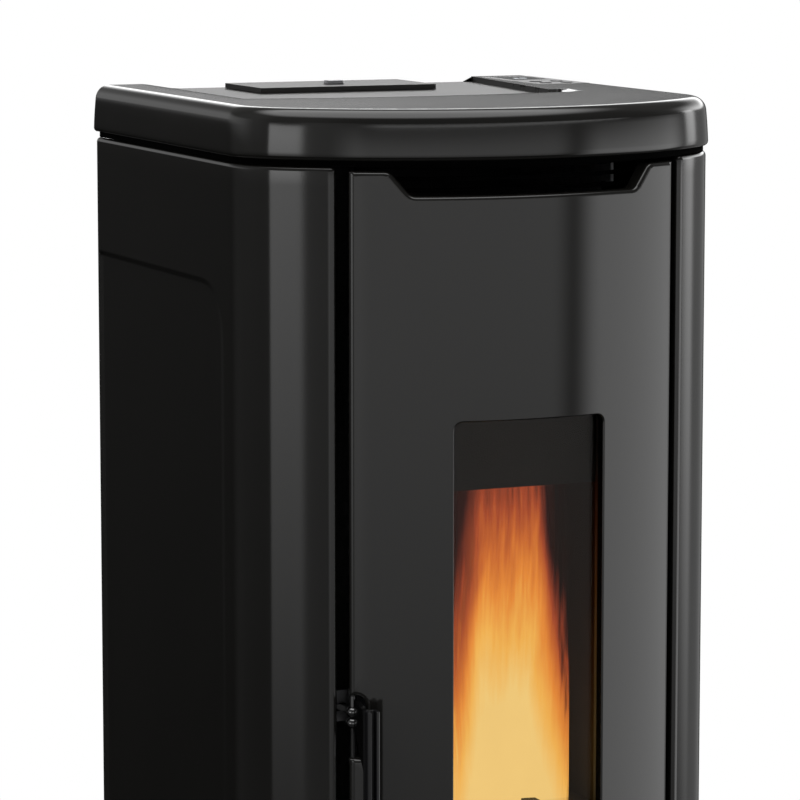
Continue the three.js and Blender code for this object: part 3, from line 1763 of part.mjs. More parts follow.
function airIntakePipe() {
  const from = fireRearY - fireWall;
  return roundPipe(intakeX, intakeHeight, intakeRadius, flueWall, from, rearY + intakeReach, 20);
}

function addExhaust() {
  addPart(stove, 'smoke_duct', smokeDuct(), galvanised);
  addPart(stove, 'exhaust_fan_housing', exhaustHousing(), castIron);
  const group = groupAt(exhaustX, exhaustAxisY, exhaustAxisZ);
  addPart(group, 'exhaust_impeller', exhaustImpeller(), steel);
  addPart(stove, 'exhaust_motor', exhaustMotor(), blackPaint);
  addPart(stove, 'flue_collar', flueCollar(), blackPaint);
  addPart(stove, 'air_intake_pipe', airIntakePipe(), galvanised);
}

// ---------------------------------------------------------------- room-air fan

function addRoomFan() {
  const bottom = baseTop + play;
  const rear = rearY - sheet - fanRearGap;
  const front = rear - fanDepth;
  const top = bottom + fanRise + fanHeight;
  const axisY = (front + rear) / 2;
  const axisZ = bottom + fanRise + fanHeight / 2;
  const wall = fanWall;
  const outer = box(-fanHalfWidth, fanHalfWidth, front, rear, bottom, top);
  const inner = box(
    -fanHalfWidth + wall,
    fanHalfWidth - wall,
    front + wall,
    rear + 1,
    bottom + fanRise,
    top - wall,
  );
  const outletHalf = fanHalfWidth - 14;
  const outlet = box(-outletHalf, outletHalf, front - 1, axisY - 6, top - 30, top + 1);
  const under = box(
    -fanHalfWidth + wall,
    fanHalfWidth - wall,
    front + wall,
    rear + 1,
    bottom - 1,
    bottom + fanRise - wall,
  );
  const bore = rod(
    [-fanHalfWidth - 1, axisY, axisZ],
    [fanHalfWidth + 1, axisY, axisZ],
    fanShaftRadius + play,
    12,
  );
  const housing = cutAll(outer, [inner, outlet, under, bore]);
  addPart(stove, 'room_fan_housing', housing, galvanised);
  const group = groupAt(0, axisY, axisZ);
  const half = fanHalfWidth - wall - 6;
  let rotor = rod([-half - 8, 0, 0], [half + 8, 0, 0], fanShaftRadius, 12);
  for (const x of [-half, half - 2]) {
    rotor = rotor.add(rod([x, 0, 0], [x + 2, 0, 0], fanRotorRadius, 24));
  }
  for (let i = 0; i < fanBlades; i++) {
    const blade = new THREE.BoxGeometry(2 * half, 1.6, 12);
    blade.rotateX(THREE.MathUtils.degToRad(35));
    blade.translate(0, 0, fanRotorRadius - 6.5);
    blade.rotateX(2 * Math.PI * (i + 0.5) / fanBlades);
    rotor = rotor.add(solid(blade));
  }
  addPart(group, 'room_fan_rotor', rotor, steel);
}

// ---------------------------------------------------------------- ash drawer

function drawerFront() {
  const skin = bowedSheet(doorHalf, drawerBottom, drawerTop, edgeReturn);
  const over = 1;
  const notch = prismAlongY([
    new THREE.Vector2(-drawerNotchHalf + drawerNotchDepth, drawerTop - drawerNotchDepth),
    new THREE.Vector2(drawerNotchHalf - drawerNotchDepth, drawerTop - drawerNotchDepth),
    new THREE.Vector2(drawerNotchHalf + over, drawerTop + over),
    new THREE.Vector2(-drawerNotchHalf - over, drawerTop + over),
  ], apexY - 1, bowY(doorHalf, 0));
  const webZ = drawerBottom + drawerRise;
  const webs = [webZ, webZ + drawerHeight - 20].map(
    (z) => bowWeb(drawerHalfWidth + 10, fireFrontY - 4 - play, z, z + stiffener),
  );
  return join(skin, ...webs).subtract(notch);
}

function drawerBox() {
  const z0 = drawerBottom + drawerRise;
  const z1 = z0 + drawerHeight;
  const y0 = fireFrontY - 4;
  const y1 = y0 + drawerLength;
  const half = drawerHalfWidth;
  const outer = box(-half, half, y0, y1, z0, z1);
  const wall = drawerWall;
  return outer.subtract(box(-half + wall, half - wall, y0 + wall, y1 - wall, z0 + wall, z1 + 1));
}

function addAshDrawer() {
  const group = groupAt(0, apexY, drawerBottom);
  addMoved(group, 'ash_drawer_front', drawerFront(), paint);
  addMoved(group, 'ash_drawer_box', drawerBox(), galvanised);
}

// ---------------------------------------------------------------- controls

const buttonNames = ['button_power', 'button_plus', 'button_minus', 'button_menu'];

function buttonPlaces() {
  const firstY = panelY - panelLength / 2 + 20;
  return buttonNames.map((name, i) => {
    const column = i % 2;
    const row = Math.floor(i / 2);
    return [name, panelX + (column - 0.5) * buttonPitch, firstY + row * buttonPitch];
  });
}

function displayCentreY() {
  return panelY + panelLength / 2 - displayLength / 2 - 10;
}

function controlPanel() {
  const x0 = panelX - panelWidth / 2;
  const x1 = panelX + panelWidth / 2;
  const y0 = panelY - panelLength / 2;
  const y1 = panelY + panelLength / 2;
  const face = box(x0, x1, y0, y1, coverTop - panelDepth, coverTop);
  const wall = 2;
  const room = box(
    x0 + wall,
    x1 - wall,
    y0 + wall,
    y1 - wall,
    coverTop - panelDepth - 1,
    coverTop - panelThickness,
  );
  const displayY = displayCentreY();
  const display = box(
    panelX - displayWidth / 2 - play,
    panelX + displayWidth / 2 + play,
    displayY - displayLength / 2 - play,
    displayY + displayLength / 2 + play,
    coverTop - panelThickness - 1,
    coverTop + 1,
  );
  let panel = face.subtract(room).subtract(display);
  for (const [, x, y] of buttonPlaces()) {
    panel = panel.subtract(rod([x, y, coverTop - 5], [x, y, coverTop + 1], buttonRadius + play, 20));
  }
  return panel;
}

function displayWindow() {
  const y = displayCentreY();
  const x0 = panelX - displayWidth / 2;
  const x1 = panelX + displayWidth / 2;
  const y0 = y - displayLength / 2;
  const y1 = y + displayLength / 2;
  const rimTop = coverTop - panelThickness - play;
  const pane = box(x0, x1, y0, y1, rimTop - 1, coverTop);
  const rim = box(x0 - 3, x1 + 3, y0 - 3, y1 + 3, rimTop - 2, rimTop);
  return pane.add(rim);
}

// A push button along +Z from the face of the panel, with the collar that keeps it in.
function pushButton() {
  const collarTop = -panelThickness - play;
  return lathe([
    [0, collarTop - 1.5],
    [buttonRadius + 1.5, collarTop - 1.5],
    [buttonRadius + 1.5, collarTop],
    [buttonRadius, collarTop],
    [buttonRadius, buttonRise - 0.5],
    [buttonRadius - 0.5, buttonRise],
    [0, buttonRise],
  ]);
}

function controlBoard() {
  const wall = 2;
  const x0 = panelX - panelWidth / 2 + wall + play;
  const x1 = panelX + panelWidth / 2 - wall - play;
  const y0 = panelY - panelLength / 2 + wall + play;
  const y1 = panelY + panelLength / 2 - wall - play;
  const z = coverTop - panelDepth + 1;
  const plate = box(x0, x1, y0, y1, z, z + 1.6);
  const chip = box(x0 + 8, x0 + 22, y0 + 60, y0 + 80, z + 1, z + 4);
  const connector = box(x0 + 30, x0 + 40, y0 + 100, y0 + 125, z + 1, z + 6);
  return join(plate, chip, connector);
}

function powerInlet() {
  const half = inletWidth / 2;
  const flange = 3;
  const front = rearY - 26;
  const body = box(
    inletX - half,
    inletX + half,
    front,
    rearY + play + 1,
    inletZ - inletTall / 2,
    inletZ + inletTall / 2,
  );
  const plate = box(
    inletX - half - flange,
    inletX + half + flange,
    rearY + play,
    rearY + play + 2,
    inletZ - inletTall / 2 - flange,
    inletZ + inletTall / 2 + flange,
  );
  const socketZ = inletZ - 12;
  const socket = box(inletX - 12, inletX + 12, front + 6, rearY + 4, socketZ - 8, socketZ + 8);
  const pins = [-7, 0, 7].map((x) => {
    const z = socketZ + (x === 0 ? 3 : -2);
    return box(inletX + x - 1, inletX + x + 1, front + 5, rearY - 4, z - 2, z + 2);
  });
  const switchRoom = box(
    inletX - rockerWidth / 2 - play,
    inletX + rockerWidth / 2 + play,
    front + 6,
    rearY + 4,
    rockerZ - rockerTall / 2 - play - 0.6,
    rockerZ + rockerTall / 2 + play + 0.6,
  );
  return join(body, plate).subtract(socket).subtract(switchRoom).add(join(...pins));
}

// The switch's rocker: a shallow wedge with its high end up, seen from behind.
function rocker() {
  const half = rockerTall / 2;
  return prismAlongX([
    new THREE.Vector2(-8, -half + 3),
    new THREE.Vector2(0.5, -half),
    new THREE.Vector2(1.5, 0),
    new THREE.Vector2(4, half),
    new THREE.Vector2(-8, half - 3),
  ], -rockerWidth / 2, rockerWidth / 2);
}

function addControls() {
  addPart(stove, 'control_panel', controlPanel(), plastic);
  addPart(stove, 'display_window', displayWindow(), glass);
  for (const [name, x, y] of buttonPlaces()) {
    addPart(stove, name, pushButton(), plastic).position.set(x, y, coverTop);
  }
  addPart(stove, 'control_board', controlBoard(), circuit);
  addPart(stove, 'power_inlet', powerInlet(), plastic);
  addPart(stove, 'rocker_switch', rocker(), plastic).position.set(inletX, rearY + 1, rockerZ);
}

addCasing();
addLid();
addDoor();
addFirebox();
addFuelFeed();
addExhaust();
addRoomFan();
addAshDrawer();
addControls();

export default stove;
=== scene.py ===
"""Dresses the pellet stove's frame: painted casing, door and window, fire, controls and studio."""

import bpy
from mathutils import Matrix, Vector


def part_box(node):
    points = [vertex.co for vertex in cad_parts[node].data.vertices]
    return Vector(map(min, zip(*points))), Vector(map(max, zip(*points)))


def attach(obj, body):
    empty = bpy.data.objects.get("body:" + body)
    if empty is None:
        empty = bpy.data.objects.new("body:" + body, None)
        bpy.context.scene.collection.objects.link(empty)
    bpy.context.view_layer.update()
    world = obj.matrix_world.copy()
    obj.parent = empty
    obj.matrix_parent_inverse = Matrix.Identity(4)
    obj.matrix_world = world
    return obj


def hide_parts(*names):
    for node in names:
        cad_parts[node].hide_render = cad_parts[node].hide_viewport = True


bl_info = {
    "name": "Pellet stove dressing",
    "version": (1, 0, 0),
    "blender": (4, 5, 0),
    "location": "3D View > Sidebar > Stove",
    "description": "Builds the stove's finished surfaces, its fire and a studio round the frame",
    "category": "Object",
}

import math
import random

import bmesh
import bpy
from bpy.props import FloatProperty, FloatVectorProperty, IntProperty, PointerProperty
from mathutils import Matrix, Vector

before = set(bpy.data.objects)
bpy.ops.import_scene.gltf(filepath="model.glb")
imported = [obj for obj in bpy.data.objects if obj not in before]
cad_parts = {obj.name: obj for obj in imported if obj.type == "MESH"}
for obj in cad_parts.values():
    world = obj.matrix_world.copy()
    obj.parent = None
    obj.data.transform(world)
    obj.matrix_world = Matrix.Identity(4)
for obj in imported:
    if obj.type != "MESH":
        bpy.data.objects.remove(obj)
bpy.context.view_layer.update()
HAIR = 0.0001                  # keeps surfaces apart that would fall together
MILLIMETRE = 0.001
HALF_TURN = 180.0
FULL_TURN = 360.0
DEGREES = HALF_TURN / math.pi  # degrees in a radian


# ---------------------------------------------------------------- sizes and colours


def length(name, description, default):
    return FloatProperty(
        name=name, description=description, default=default, min=0.0, unit="LENGTH", precision=4
    )


def angle_size(name, description, degrees):
    return FloatProperty(
        name=name, description=description, default=math.radians(degrees), subtype="ANGLE",
        unit="ROTATION",
    )


def position(name, description, default):
    return FloatProperty(name=name, description=description, default=default, unit="LENGTH")


def colour(name, description, default):
    return FloatVectorProperty(
        name=name, description=description, default=default, size=3, min=0.0, max=1.0,
        subtype="COLOR",
    )


class StoveCasingSizes(bpy.types.PropertyGroup):
    bow_radius: length("Bow radius", "Radius of the bowed front", 0.322)
    corner_radius: length("Corner radius", "Radius of the two front corners", 0.0925)
    sheet: length("Sheet", "Thickness of the casing's sheets", 0.002)
    fold: length("Fold", "Depth of the folded edges", 0.014)
    recess_depth: length("Recess depth", "Depth of the pressed field in each side", 0.003)
    recess_radius: length("Recess radius", "Corner radius of the pressed field", 0.05)
    recess_slope: length("Recess slope", "Width of the pressed field's border", 0.005)
    recess_front_slope: length("Front slope", "Width of the field's soft front border", 0.016)
    recess_setback: length("Recess setback", "Crown of the front to the pressed field", 0.1825)
    recess_top_drop: length("Recess top", "Top of the side panels to the pressed field", 0.1213)
    recess_bottom_rise: length("Recess foot", "Foot of the side panels to the field", 0.126)
    rear_return: length("Rear return", "Width of the side panels' fold at the rear", 0.02)
    rear_radius: length("Rear corner", "Radius of the side panels' rear corners", 0.0028)
    recess_rear_lip: length("Recess lip", "Pressed field to the rear edge of the side", 0.005)
    notch_half: length("Notch", "Half width of the drawer's finger notch at the top", 0.046)
    notch_depth: length("Notch depth", "Depth of the drawer's finger notch", 0.013)
    notch_radius: length("Notch radius", "Corner radius of the drawer's finger notch", 0.006)
    rolled: length("Rolled edge", "Radius of the outer panels' rolled edges", 0.0045)


class StoveCoverSizes(bpy.types.PropertyGroup):
    height: length("Height", "Lower edge to the rim of the cover", 0.0476)
    edge_radius: length("Upper edge", "Radius of the cover's upper edge", 0.0145)
    lower_lean: angle_size("Lower lean", "Lean of the cover's edge at its foot", 2.0)
    upper_lean: angle_size("Upper lean", "Lean of the edge where its rounding starts", 6.0)
    foot_radius: length("Lower edge", "Radius of the cover's lower edge", 0.004)
    dish_depth: length("Dish depth", "Depth of the dished field", 0.0055)
    dish_left: length("Dish left", "Middle of the cover to the dish's left edge", 0.2)
    dish_side_ramp: length("Side ramp", "Width of the dish's soft left slope", 0.04)
    dish_front_setback: length("Dish front", "Crown of the front to the dish", 0.2125)
    dish_front_ramp: length("Front ramp", "Width of the dish's soft front slope", 0.07)
    wall_rear_x: length("Wall rear", "Middle to the dish's right wall at the rear", 0.1765)
    wall_front_x: length("Wall front", "Middle to the wall's front end", 0.146)
    wall_setback: length("Wall setback", "Crown of the front to the wall's front end", 0.2775)
    step_length: length("Step", "Length of the step at the wall's front end", 0.02)
    skin: length("Skin", "Thickness of the cover", 0.004)
    skirt_inset: length("Skirt", "Side of the casing to the skirt behind the joint", 0.0025)
    skirt_wall: length("Skirt wall", "Thickness of that skirt", 0.002)
    lid_lap: length("Lid lap", "Lap of the lid over the hopper's mouth", 0.011)
    panel_gap: length("Panel gap", "Gap round the control panel", 0.0003)
    trench_half: length("Trench", "Half length of the trench of the lid's hinge", 0.041)
    trench_radius: length("Trench radius", "Half width of that trench", 0.0055)
    trench_wall: length("Trench wall", "Wall between the trench and the hopper's mouth", 0.003)


class StoveDoorSizes(bpy.types.PropertyGroup):
    window_width: length("Window width", "Clear width of the window", 0.1555)
    window_height: length("Window height", "Clear height of the window", 0.43)
    window_drop: length("Window drop", "Rim of the cover to the window", 0.292)
    window_radius: length("Window radius", "Corner radius of the window", 0.008)
    reveal: length("Reveal", "Thickness of the wall round the window", 0.002)
    notch_top: length("Notch top", "Half width of the warm-air notch at the top", 0.1353)
    notch_bottom: length("Notch foot", "Half width of the warm-air notch at its foot", 0.1165)
    notch_drop: length("Notch drop", "Rim of the cover to the notch's foot", 0.08)
    notch_radius: length("Notch radius", "Radius of the notch's four corners", 0.009)
    window_rim: length("Window rim", "Rounding of the window opening's front edge", 0.0015)
    latch_width: length("Latch notch width", "Width of the cut-out round the latch", 0.0135)
    latch_height: length("Latch notch height", "Height of the cut-out round the latch", 0.0605)
    latch_gap: length("Latch gap", "Top of the latch to the top of its cut-out", 0.0015)
    latch_upper_radius: length("Notch corner", "Upper inner corner of that cut-out", 0.008)
    latch_lower_radius: length("Notch heel", "Lower inner corner of that cut-out", 0.002)
    glass_gap: length("Glass gap", "Wall round the window to the glass", 0.0003)


class StoveLatchSizes(bpy.types.PropertyGroup):
    knuckle_height: length("Knuckle", "Height of the latch's knuckle", 0.031)
    collar_height: length("Collar height", "Height of each rounded collar", 0.0105)
    collar_radius: length("Collar radius", "Radius of the collars", 0.0068)
    neck_radius: length("Neck", "Radius of the neck above the collars", 0.0035)
    arm_width: length("Arm", "Thickness of the arm", 0.005)
    arm_drop: length("Arm drop", "Foot of the knuckle to the arm's lower edge", 0.002)
    arm_top: length("Arm top", "Top of the knuckle to the top of the arm", 0.003)
    tongue_width: length("Tongue", "Width of the tongue and its hook", 0.006)
    latch_play: length("Play", "Gap between the arm and the grip", 0.0003)


class StoveFireSettings(bpy.types.PropertyGroup):
    height: length("Flame height", "Foot of the flames to their tips", 0.4)
    half_width: length("Flame half width", "Half width of the fire at its foot", 0.1)
    strength: FloatProperty(
        name="Brightness", description="Light given off by the flames", default=1.05, min=0.0
    )
    embers: IntProperty(name="Embers", description="Pellets in the burn pot", default=90, min=0)
    seed: IntProperty(name="Seed", description="Picks the fire's pattern", default=7)


class StoveFinishSettings(bpy.types.PropertyGroup):
    paint: colour("Paint", "Bronze-black paint of the casing", (0.0098, 0.0094, 0.0084))
    black: colour("Black paint", "Heat paint of the rear and the inner sheets", (0.006,) * 3)
    gloss: FloatProperty(
        name="Paint roughness", description="Roughness of the casing's paint", default=0.1,
        min=0.0, max=1.0, subtype="FACTOR",
    )


class StoveStudioSettings(bpy.types.PropertyGroup):
    camera_x: position("Camera X", "Camera to the right of the stove's middle", -1.5548)
    camera_y: position("Camera Y", "Camera behind the stove's middle", -3.5579)
    camera_z: length("Camera height", "Height of the camera's eye", 1.3015)
    yaw: FloatProperty(name="Yaw", description="Camera heading, from +Y towards +X",
                       default=0.409, unit="ROTATION")
    pitch: FloatProperty(name="Pitch", description="Camera tilt below the horizon",
                         default=0.1359, unit="ROTATION")
    lens: FloatProperty(name="Lens", description="Focal length in millimetres on a 36 mm frame",
                        default=175.24, min=1.0)
    floor_radius: length("Floor radius", "Radius of the studio's floor", 1.5)


# ---------------------------------------------------------------- shader maths


class Wire:
    """A shader socket that takes part in Python expressions."""

    def __init__(self, maker, socket):
        self.maker = maker
        self.socket = socket

    def maths(self, operation, *values):
        return self.maker.node(
            "ShaderNodeMath", {"operation": operation}, dict(enumerate(values))
        )

    def __add__(self, other):
        return self.maths("ADD", self, other)

    __radd__ = __add__

    def __sub__(self, other):
        return self.maths("SUBTRACT", self, other)

    def __rsub__(self, other):
        return self.maths("SUBTRACT", other, self)

    def __mul__(self, other):
        return self.maths("MULTIPLY", self, other)

    __rmul__ = __mul__

    def __truediv__(self, other):
        return self.maths("DIVIDE", self, other)

    def __neg__(self):
        return self * -1.0

    def __abs__(self):
        return self.maths("ABSOLUTE", self)

    def sine(self):
        return self.maths("SINE", self)

    def least(self, other):
        return self.maths("MINIMUM", self, other)

    def most(self, other):
        return self.maths("MAXIMUM", self, other)

    def step(self, low, high, start=0.0, end=1.0):
        """Runs smoothly from start to end as the value goes from low to high."""
        return self.maker.node(
            "ShaderNodeMapRange",
            {"interpolation_type": "SMOOTHSTEP"},
            {0: self, 1: low, 2: high, 3: start, 4: end},
        )


class Tree:
    """Adds nodes to one material or world."""

    def __init__(self, holder):
        holder.use_nodes = True
        self.tree = holder.node_tree
        self.tree.nodes.clear()

    def node(self, kind, settings=None, sockets=None, output=0):
        made = self.tree.nodes.new(kind)
        for name, value in (settings or {}).items():
            if name == "stops":
                self.set_stops(made.color_ramp, value)
            else:
                setattr(made, name, value)
        for name, value in (sockets or {}).items():
            if isinstance(value, Wire):
                self.tree.links.new(value.socket, made.inputs[name])
            else:
                made.inputs[name].default_value = value
        return Wire(self, made.outputs[output]) if len(made.outputs) else None

    @staticmethod
    def set_stops(ramp, stops):
        while len(ramp.elements) < len(stops):
            ramp.elements.new(1.0)
        for element, (place, value) in zip(ramp.elements, stops):
            element.position = place
            element.color = (*value, 1.0)

    def place(self):
        return self.node("ShaderNodeTexCoord", output=3)

    def part(self, vector, axis):
        return self.node("ShaderNodeSeparateXYZ", {}, {0: vector}, output=axis)

    def stretched(self, vector, scale):
        return self.node(
            "ShaderNodeVectorMath", {"operation": "MULTIPLY"}, {0: vector, 1: scale}
        )

    def noise(self, vector, scale, detail=3.0, roughness=0.55):
        return self.node(
            "ShaderNodeTexNoise",
            {},
            {"Vector": vector, "Scale": scale, "Detail": detail, "Roughness": roughness},
        )

    def between(self, factor, first, second):
        """A colour between two colours."""
        return self.node(
            "ShaderNodeMix",
            {"data_type": "RGBA"},
            {0: factor, 6: (*first, 1.0), 7: (*second, 1.0)},
            output=2,
        )

    def ramp(self, factor, stops):
        return self.node("ShaderNodeValToRGB", {"stops": stops}, {0: factor})

    def bump(self, height, distance, strength=1.0):
        return self.node(
            "ShaderNodeBump", {}, {"Height": height, "Distance": distance, "Strength": strength}
        )

    def surface(self, shader):
        self.node("ShaderNodeOutputMaterial", {}, {"Surface": shader})


# ---------------------------------------------------------------- finishes


MATERIALS = {}


def finish(name, build, **sockets):
    """A material made once; build adds the sockets that change over the surface."""
    if name in MATERIALS:
        return MATERIALS[name]
    made = bpy.data.materials.new(name)
    tree = Tree(made)
    fixed = dict(sockets)
    fixed.update(build(tree))
    tree.surface(tree.node("ShaderNodeBsdfPrincipled", {}, fixed))
    MATERIALS[name] = made
    return made


def shades(colour_value, low, high):
    """A darker and a lighter shade of one colour."""
    return [[channel * factor for channel in colour_value] for factor in (low, high)]


def speckled(base, low, high, rough, uneven, grain, bump, cloud=9.0):
    """Cloudy colour between two shares of base, uneven gloss and a fine grain.

    rough is the roughness and uneven its spread, grain the fineness of the bumps, bump their
    height in metres and cloud the fineness of the clouds.
    """

    def build(tree):
        place = tree.place()
        clouds = tree.noise(place, cloud, 4.0)
        fine = tree.noise(place, grain, 2.0)
        return {
            "Base Color": tree.between(clouds, *shades(base, low, high)),
            "Roughness": clouds * uneven + fine * uneven + (rough - uneven),
            "Normal": tree.bump(fine, bump),
        }

    return build


def paint():
    settings = bpy.context.scene.stove_finish
    return finish(
        "bronze_black_paint",
        speckled(settings.paint, 0.85, 1.15, rough=settings.gloss, uneven=0.03, grain=900.0,
                 bump=0.000012),
        **{"Specular IOR Level": 0.5},
    )


def dish_paint():
    settings = bpy.context.scene.stove_finish
    return finish(
        "bronze_black_fine_texture",
        speckled(settings.paint, 0.8, 1.2, rough=0.42, uneven=0.05, grain=1400.0,
                 bump=0.00003),
    )


def black_paint():
    settings = bpy.context.scene.stove_finish
    return finish(
        "heat_paint",
        speckled(settings.black, 0.7, 1.4, rough=0.5, uneven=0.08, grain=1200.0, bump=0.00004),
    )


def painted_shade_black():
    """Painted shade: dead flat black in the warm-air notch, the cover's joint and round the window.
    """
    return finish(
        "flat_black_painted_shade",
        speckled((0.001,) * 3, 0.7, 1.3, rough=0.85, uneven=0.06, grain=1400.0, bump=0.00005),
        **{"Specular IOR Level": 0.02},
    )


def enamel():
    return finish(
        "gloss_enamel",
        speckled((0.007, 0.007, 0.008), 0.8, 1.2, rough=0.09, uneven=0.03, grain=500.0,
                 bump=0.00001),
        **{"Coat Roughness": 0.03},
    )


def gloss_black():
    """Thick polished lacquer of the latch."""
    return finish(
        "gloss_black",
        speckled((0.004,) * 3, 0.8, 1.2, rough=0.07, uneven=0.02, grain=500.0, bump=0.000005),
        **{"IOR": 2.0},
    )


def cast_iron():
    return finish(
        "cast_iron",
        speckled((0.03, 0.029, 0.028), 0.6, 1.5, rough=0.62, uneven=0.1, grain=520.0,
                 bump=0.00022, cloud=22.0),
        Metallic=0.35,
    )


def sooted_iron():
    """Firebox iron under an uneven coat of soot."""

    def build(tree):
        place = tree.place()
        soot = tree.noise(place, 16.0, 5.0)
        grain = tree.noise(place, 700.0, 2.0)
        return {
            "Base Color": tree.between(soot, (0.004, 0.0035, 0.003), (0.018, 0.014, 0.011)),
            "Roughness": soot * 0.2 + 0.65,
            "Normal": tree.bump(grain, 0.0002),
        }

    return finish("sooted_iron", build, Metallic=0.2)


def steel():
    """Plain steel with fine level strokes."""

    def build(tree):
        place = tree.place()
        strokes = tree.noise(tree.stretched(place, (60.0, 60.0, 2200.0)), 1.0, 3.0)
        clouds = tree.noise(place, 14.0, 3.0)
        return {
            "Base Color": tree.between(clouds, *shades((0.34, 0.34, 0.35), 0.82, 1.12)),
            "Roughness": strokes * 0.16 + 0.26,
            "Normal": tree.bump(strokes, 0.00002),
        }

    return finish("plain_steel", build, Metallic=1.0)


def galvanised():
    """Zinc crystals in large flat flakes."""

    def build(tree):
        place = tree.place()
        flakes = tree.node("ShaderNodeTexVoronoi", {}, {"Vector": place, "Scale": 140.0}, 1)
        flake = tree.part(flakes, 0)
        streak = tree.noise(place, 30.0, 3.0)
        return {
            "Base Color": tree.between(flake, (0.33, 0.34, 0.35), (0.47, 0.48, 0.49)),
            "Roughness": flake * 0.18 + streak * 0.1 + 0.3,
        }

    return finish("galvanised_sheet", build, Metallic=1.0)


def window_glass():
    """Smoke-tinted ceramic glass with a faint cloudy haze of soot."""

    def build(tree):
        haze = tree.noise(tree.place(), 12.0, 4.0)
        return {
            "Base Color": tree.between(haze, (0.82, 0.76, 0.7), (0.94, 0.9, 0.86)),
            "Roughness": haze * 0.03,
        }

    return finish("ceramic_glass", build, **{"Transmission Weight": 1.0, "IOR": 1.22})


def braid():
    """Two crossing lays of glass-fibre yarn."""

    def build(tree):
        place = tree.place()
        across = tree.part(place, 0)
        up = tree.part(place, 2)
        weave = ((across + up) * 2400.0).sine().most(((across - up) * 2400.0).sine())
        dirt = tree.noise(place, 40.0, 3.0)
        return {
            "Base Color": tree.between(dirt, (0.1, 0.095, 0.085), (0.26, 0.25, 0.23)),
            "Roughness": dirt * 0.1 + 0.85,
            "Normal": tree.bump(weave, 0.0003),
        }

    return finish("sealing_braid", build)


def firebrick():
    """Pressed board of coarse flakes, clouded with soot."""

    def build(tree):
        place = tree.place()
        chips = tree.noise(place, 420.0, 4.0, 0.7)
        soot = tree.noise(tree.stretched(place, (9.0, 9.0, 4.0)), 1.0, 4.0)
        return {
            "Base Color": tree.between(soot, (0.012, 0.008, 0.005), (0.06, 0.036, 0.02)),
            "Roughness": chips * 0.1 + 0.85,
            "Normal": tree.bump(chips, 0.0005),
        }

    return finish("pressed_board", build)


def plastic():
    return finish(
        "black_plastic",
        speckled((0.012, 0.012, 0.013), 0.85, 1.15, rough=0.38, uneven=0.04, grain=2600.0,
                 bump=0.00004),
    )


def display_glass():
    return finish(
        "display_glass",
        speckled((0.006, 0.007, 0.01), 0.7, 1.3, rough=0.07, uneven=0.02, grain=300.0,
                 bump=0.000004),
    )


def circuit():
    """Green lacquer with paler tracks."""

    def build(tree):
        place = tree.place()
        tracks = tree.node(
            "ShaderNodeTexBrick",
            {"offset": 0.35},
            {"Vector": tree.stretched(place, (160.0, 160.0, 160.0)), "Scale": 1.0,
             "Color1": (0.012, 0.09, 0.03, 1.0), "Color2": (0.01, 0.07, 0.025, 1.0),
             "Mortar": (0.05, 0.2, 0.08, 1.0), "Mortar Size": 0.03},
        )
        return {"Base Color": tracks, "Roughness": tree.noise(place, 80.0) * 0.2 + 0.25}

    return finish("circuit_board", build)


def rubber():
    return finish(
        "rubber",
        speckled((0.012,) * 3, 0.7, 1.4, rough=0.75, uneven=0.08, grain=900.0, bump=0.0001),
    )


def lamp_ink():
    """Pale print on the buttons, a little worn."""

    def build(tree):
        wear = tree.noise(tree.place(), 900.0, 2.0)
        return {
            "Base Color": tree.between(wear, (0.5, 0.5, 0.5), (0.72, 0.72, 0.72)),
            "Roughness": wear * 0.2 + 0.4,
        }

    return finish("pale_print", build)


def lit_digits():
    """Cool white light of the display's figures."""

    def build(tree):
        glow = tree.noise(tree.place(), 600.0, 1.0)
        return {
            "Base Color": (0.01, 0.01, 0.01, 1.0),
            "Emission Color": tree.between(glow, (0.75, 0.82, 0.9), (0.95, 0.98, 1.0)),
        }

    return finish("lit_digits", build, **{"Emission Strength": 0.9, "Roughness": 0.4})


# ---------------------------------------------------------------- meshes


def piece_from(mesh, name, body, material, replaces=(), angle=38.0):
    """A finished piece on its body, smooth but for edges sharper than the angle."""
    made = bpy.data.objects.new(name, mesh)
    bpy.context.scene.collection.objects.link(made)
    if not isinstance(material, (list, tuple)):
        material = [material]
    for one in material:
        mesh.materials.append(one)
    smooth_but_for(mesh, angle)
    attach(made, body)
    if replaces:
        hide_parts(*replaces)
    return made


def smooth_but_for(mesh, angle):
    mesh.shade_smooth()
    mesh.set_sharp_from_angle(angle=math.radians(angle))


def mesh_from(name, build):
    """A mesh that build fills through a bmesh."""
    bm = bmesh.new()
    build(bm)
    mesh = bpy.data.meshes.new(name)
    bmesh.ops.recalc_face_normals(bm, faces=bm.faces)
    bm.to_mesh(mesh)
    bm.free()
    return mesh


def modifier(piece, name, kind, **settings):
    made = piece.modifiers.new(name, kind)
    for setting, value in settings.items():
        setattr(made, setting, value)


def weighted(piece):
    modifier(piece, "weighted normals", "WEIGHTED_NORMAL", keep_sharp=True, weight=80)


def join_rows(bm, rows):
    """Faces between neighbouring rows of points, open at their ends."""
    return [
        bm.faces.new((one[i], one[i + 1], two[i + 1], two[i]))
        for one, two in zip(rows, rows[1:])
        for i in range(len(one) - 1)
    ]


def join_rings(bm, rings):
    """Faces between neighbouring closed rings of points."""
    return join_rows(bm, [[*ring, ring[0]] for ring in rings])


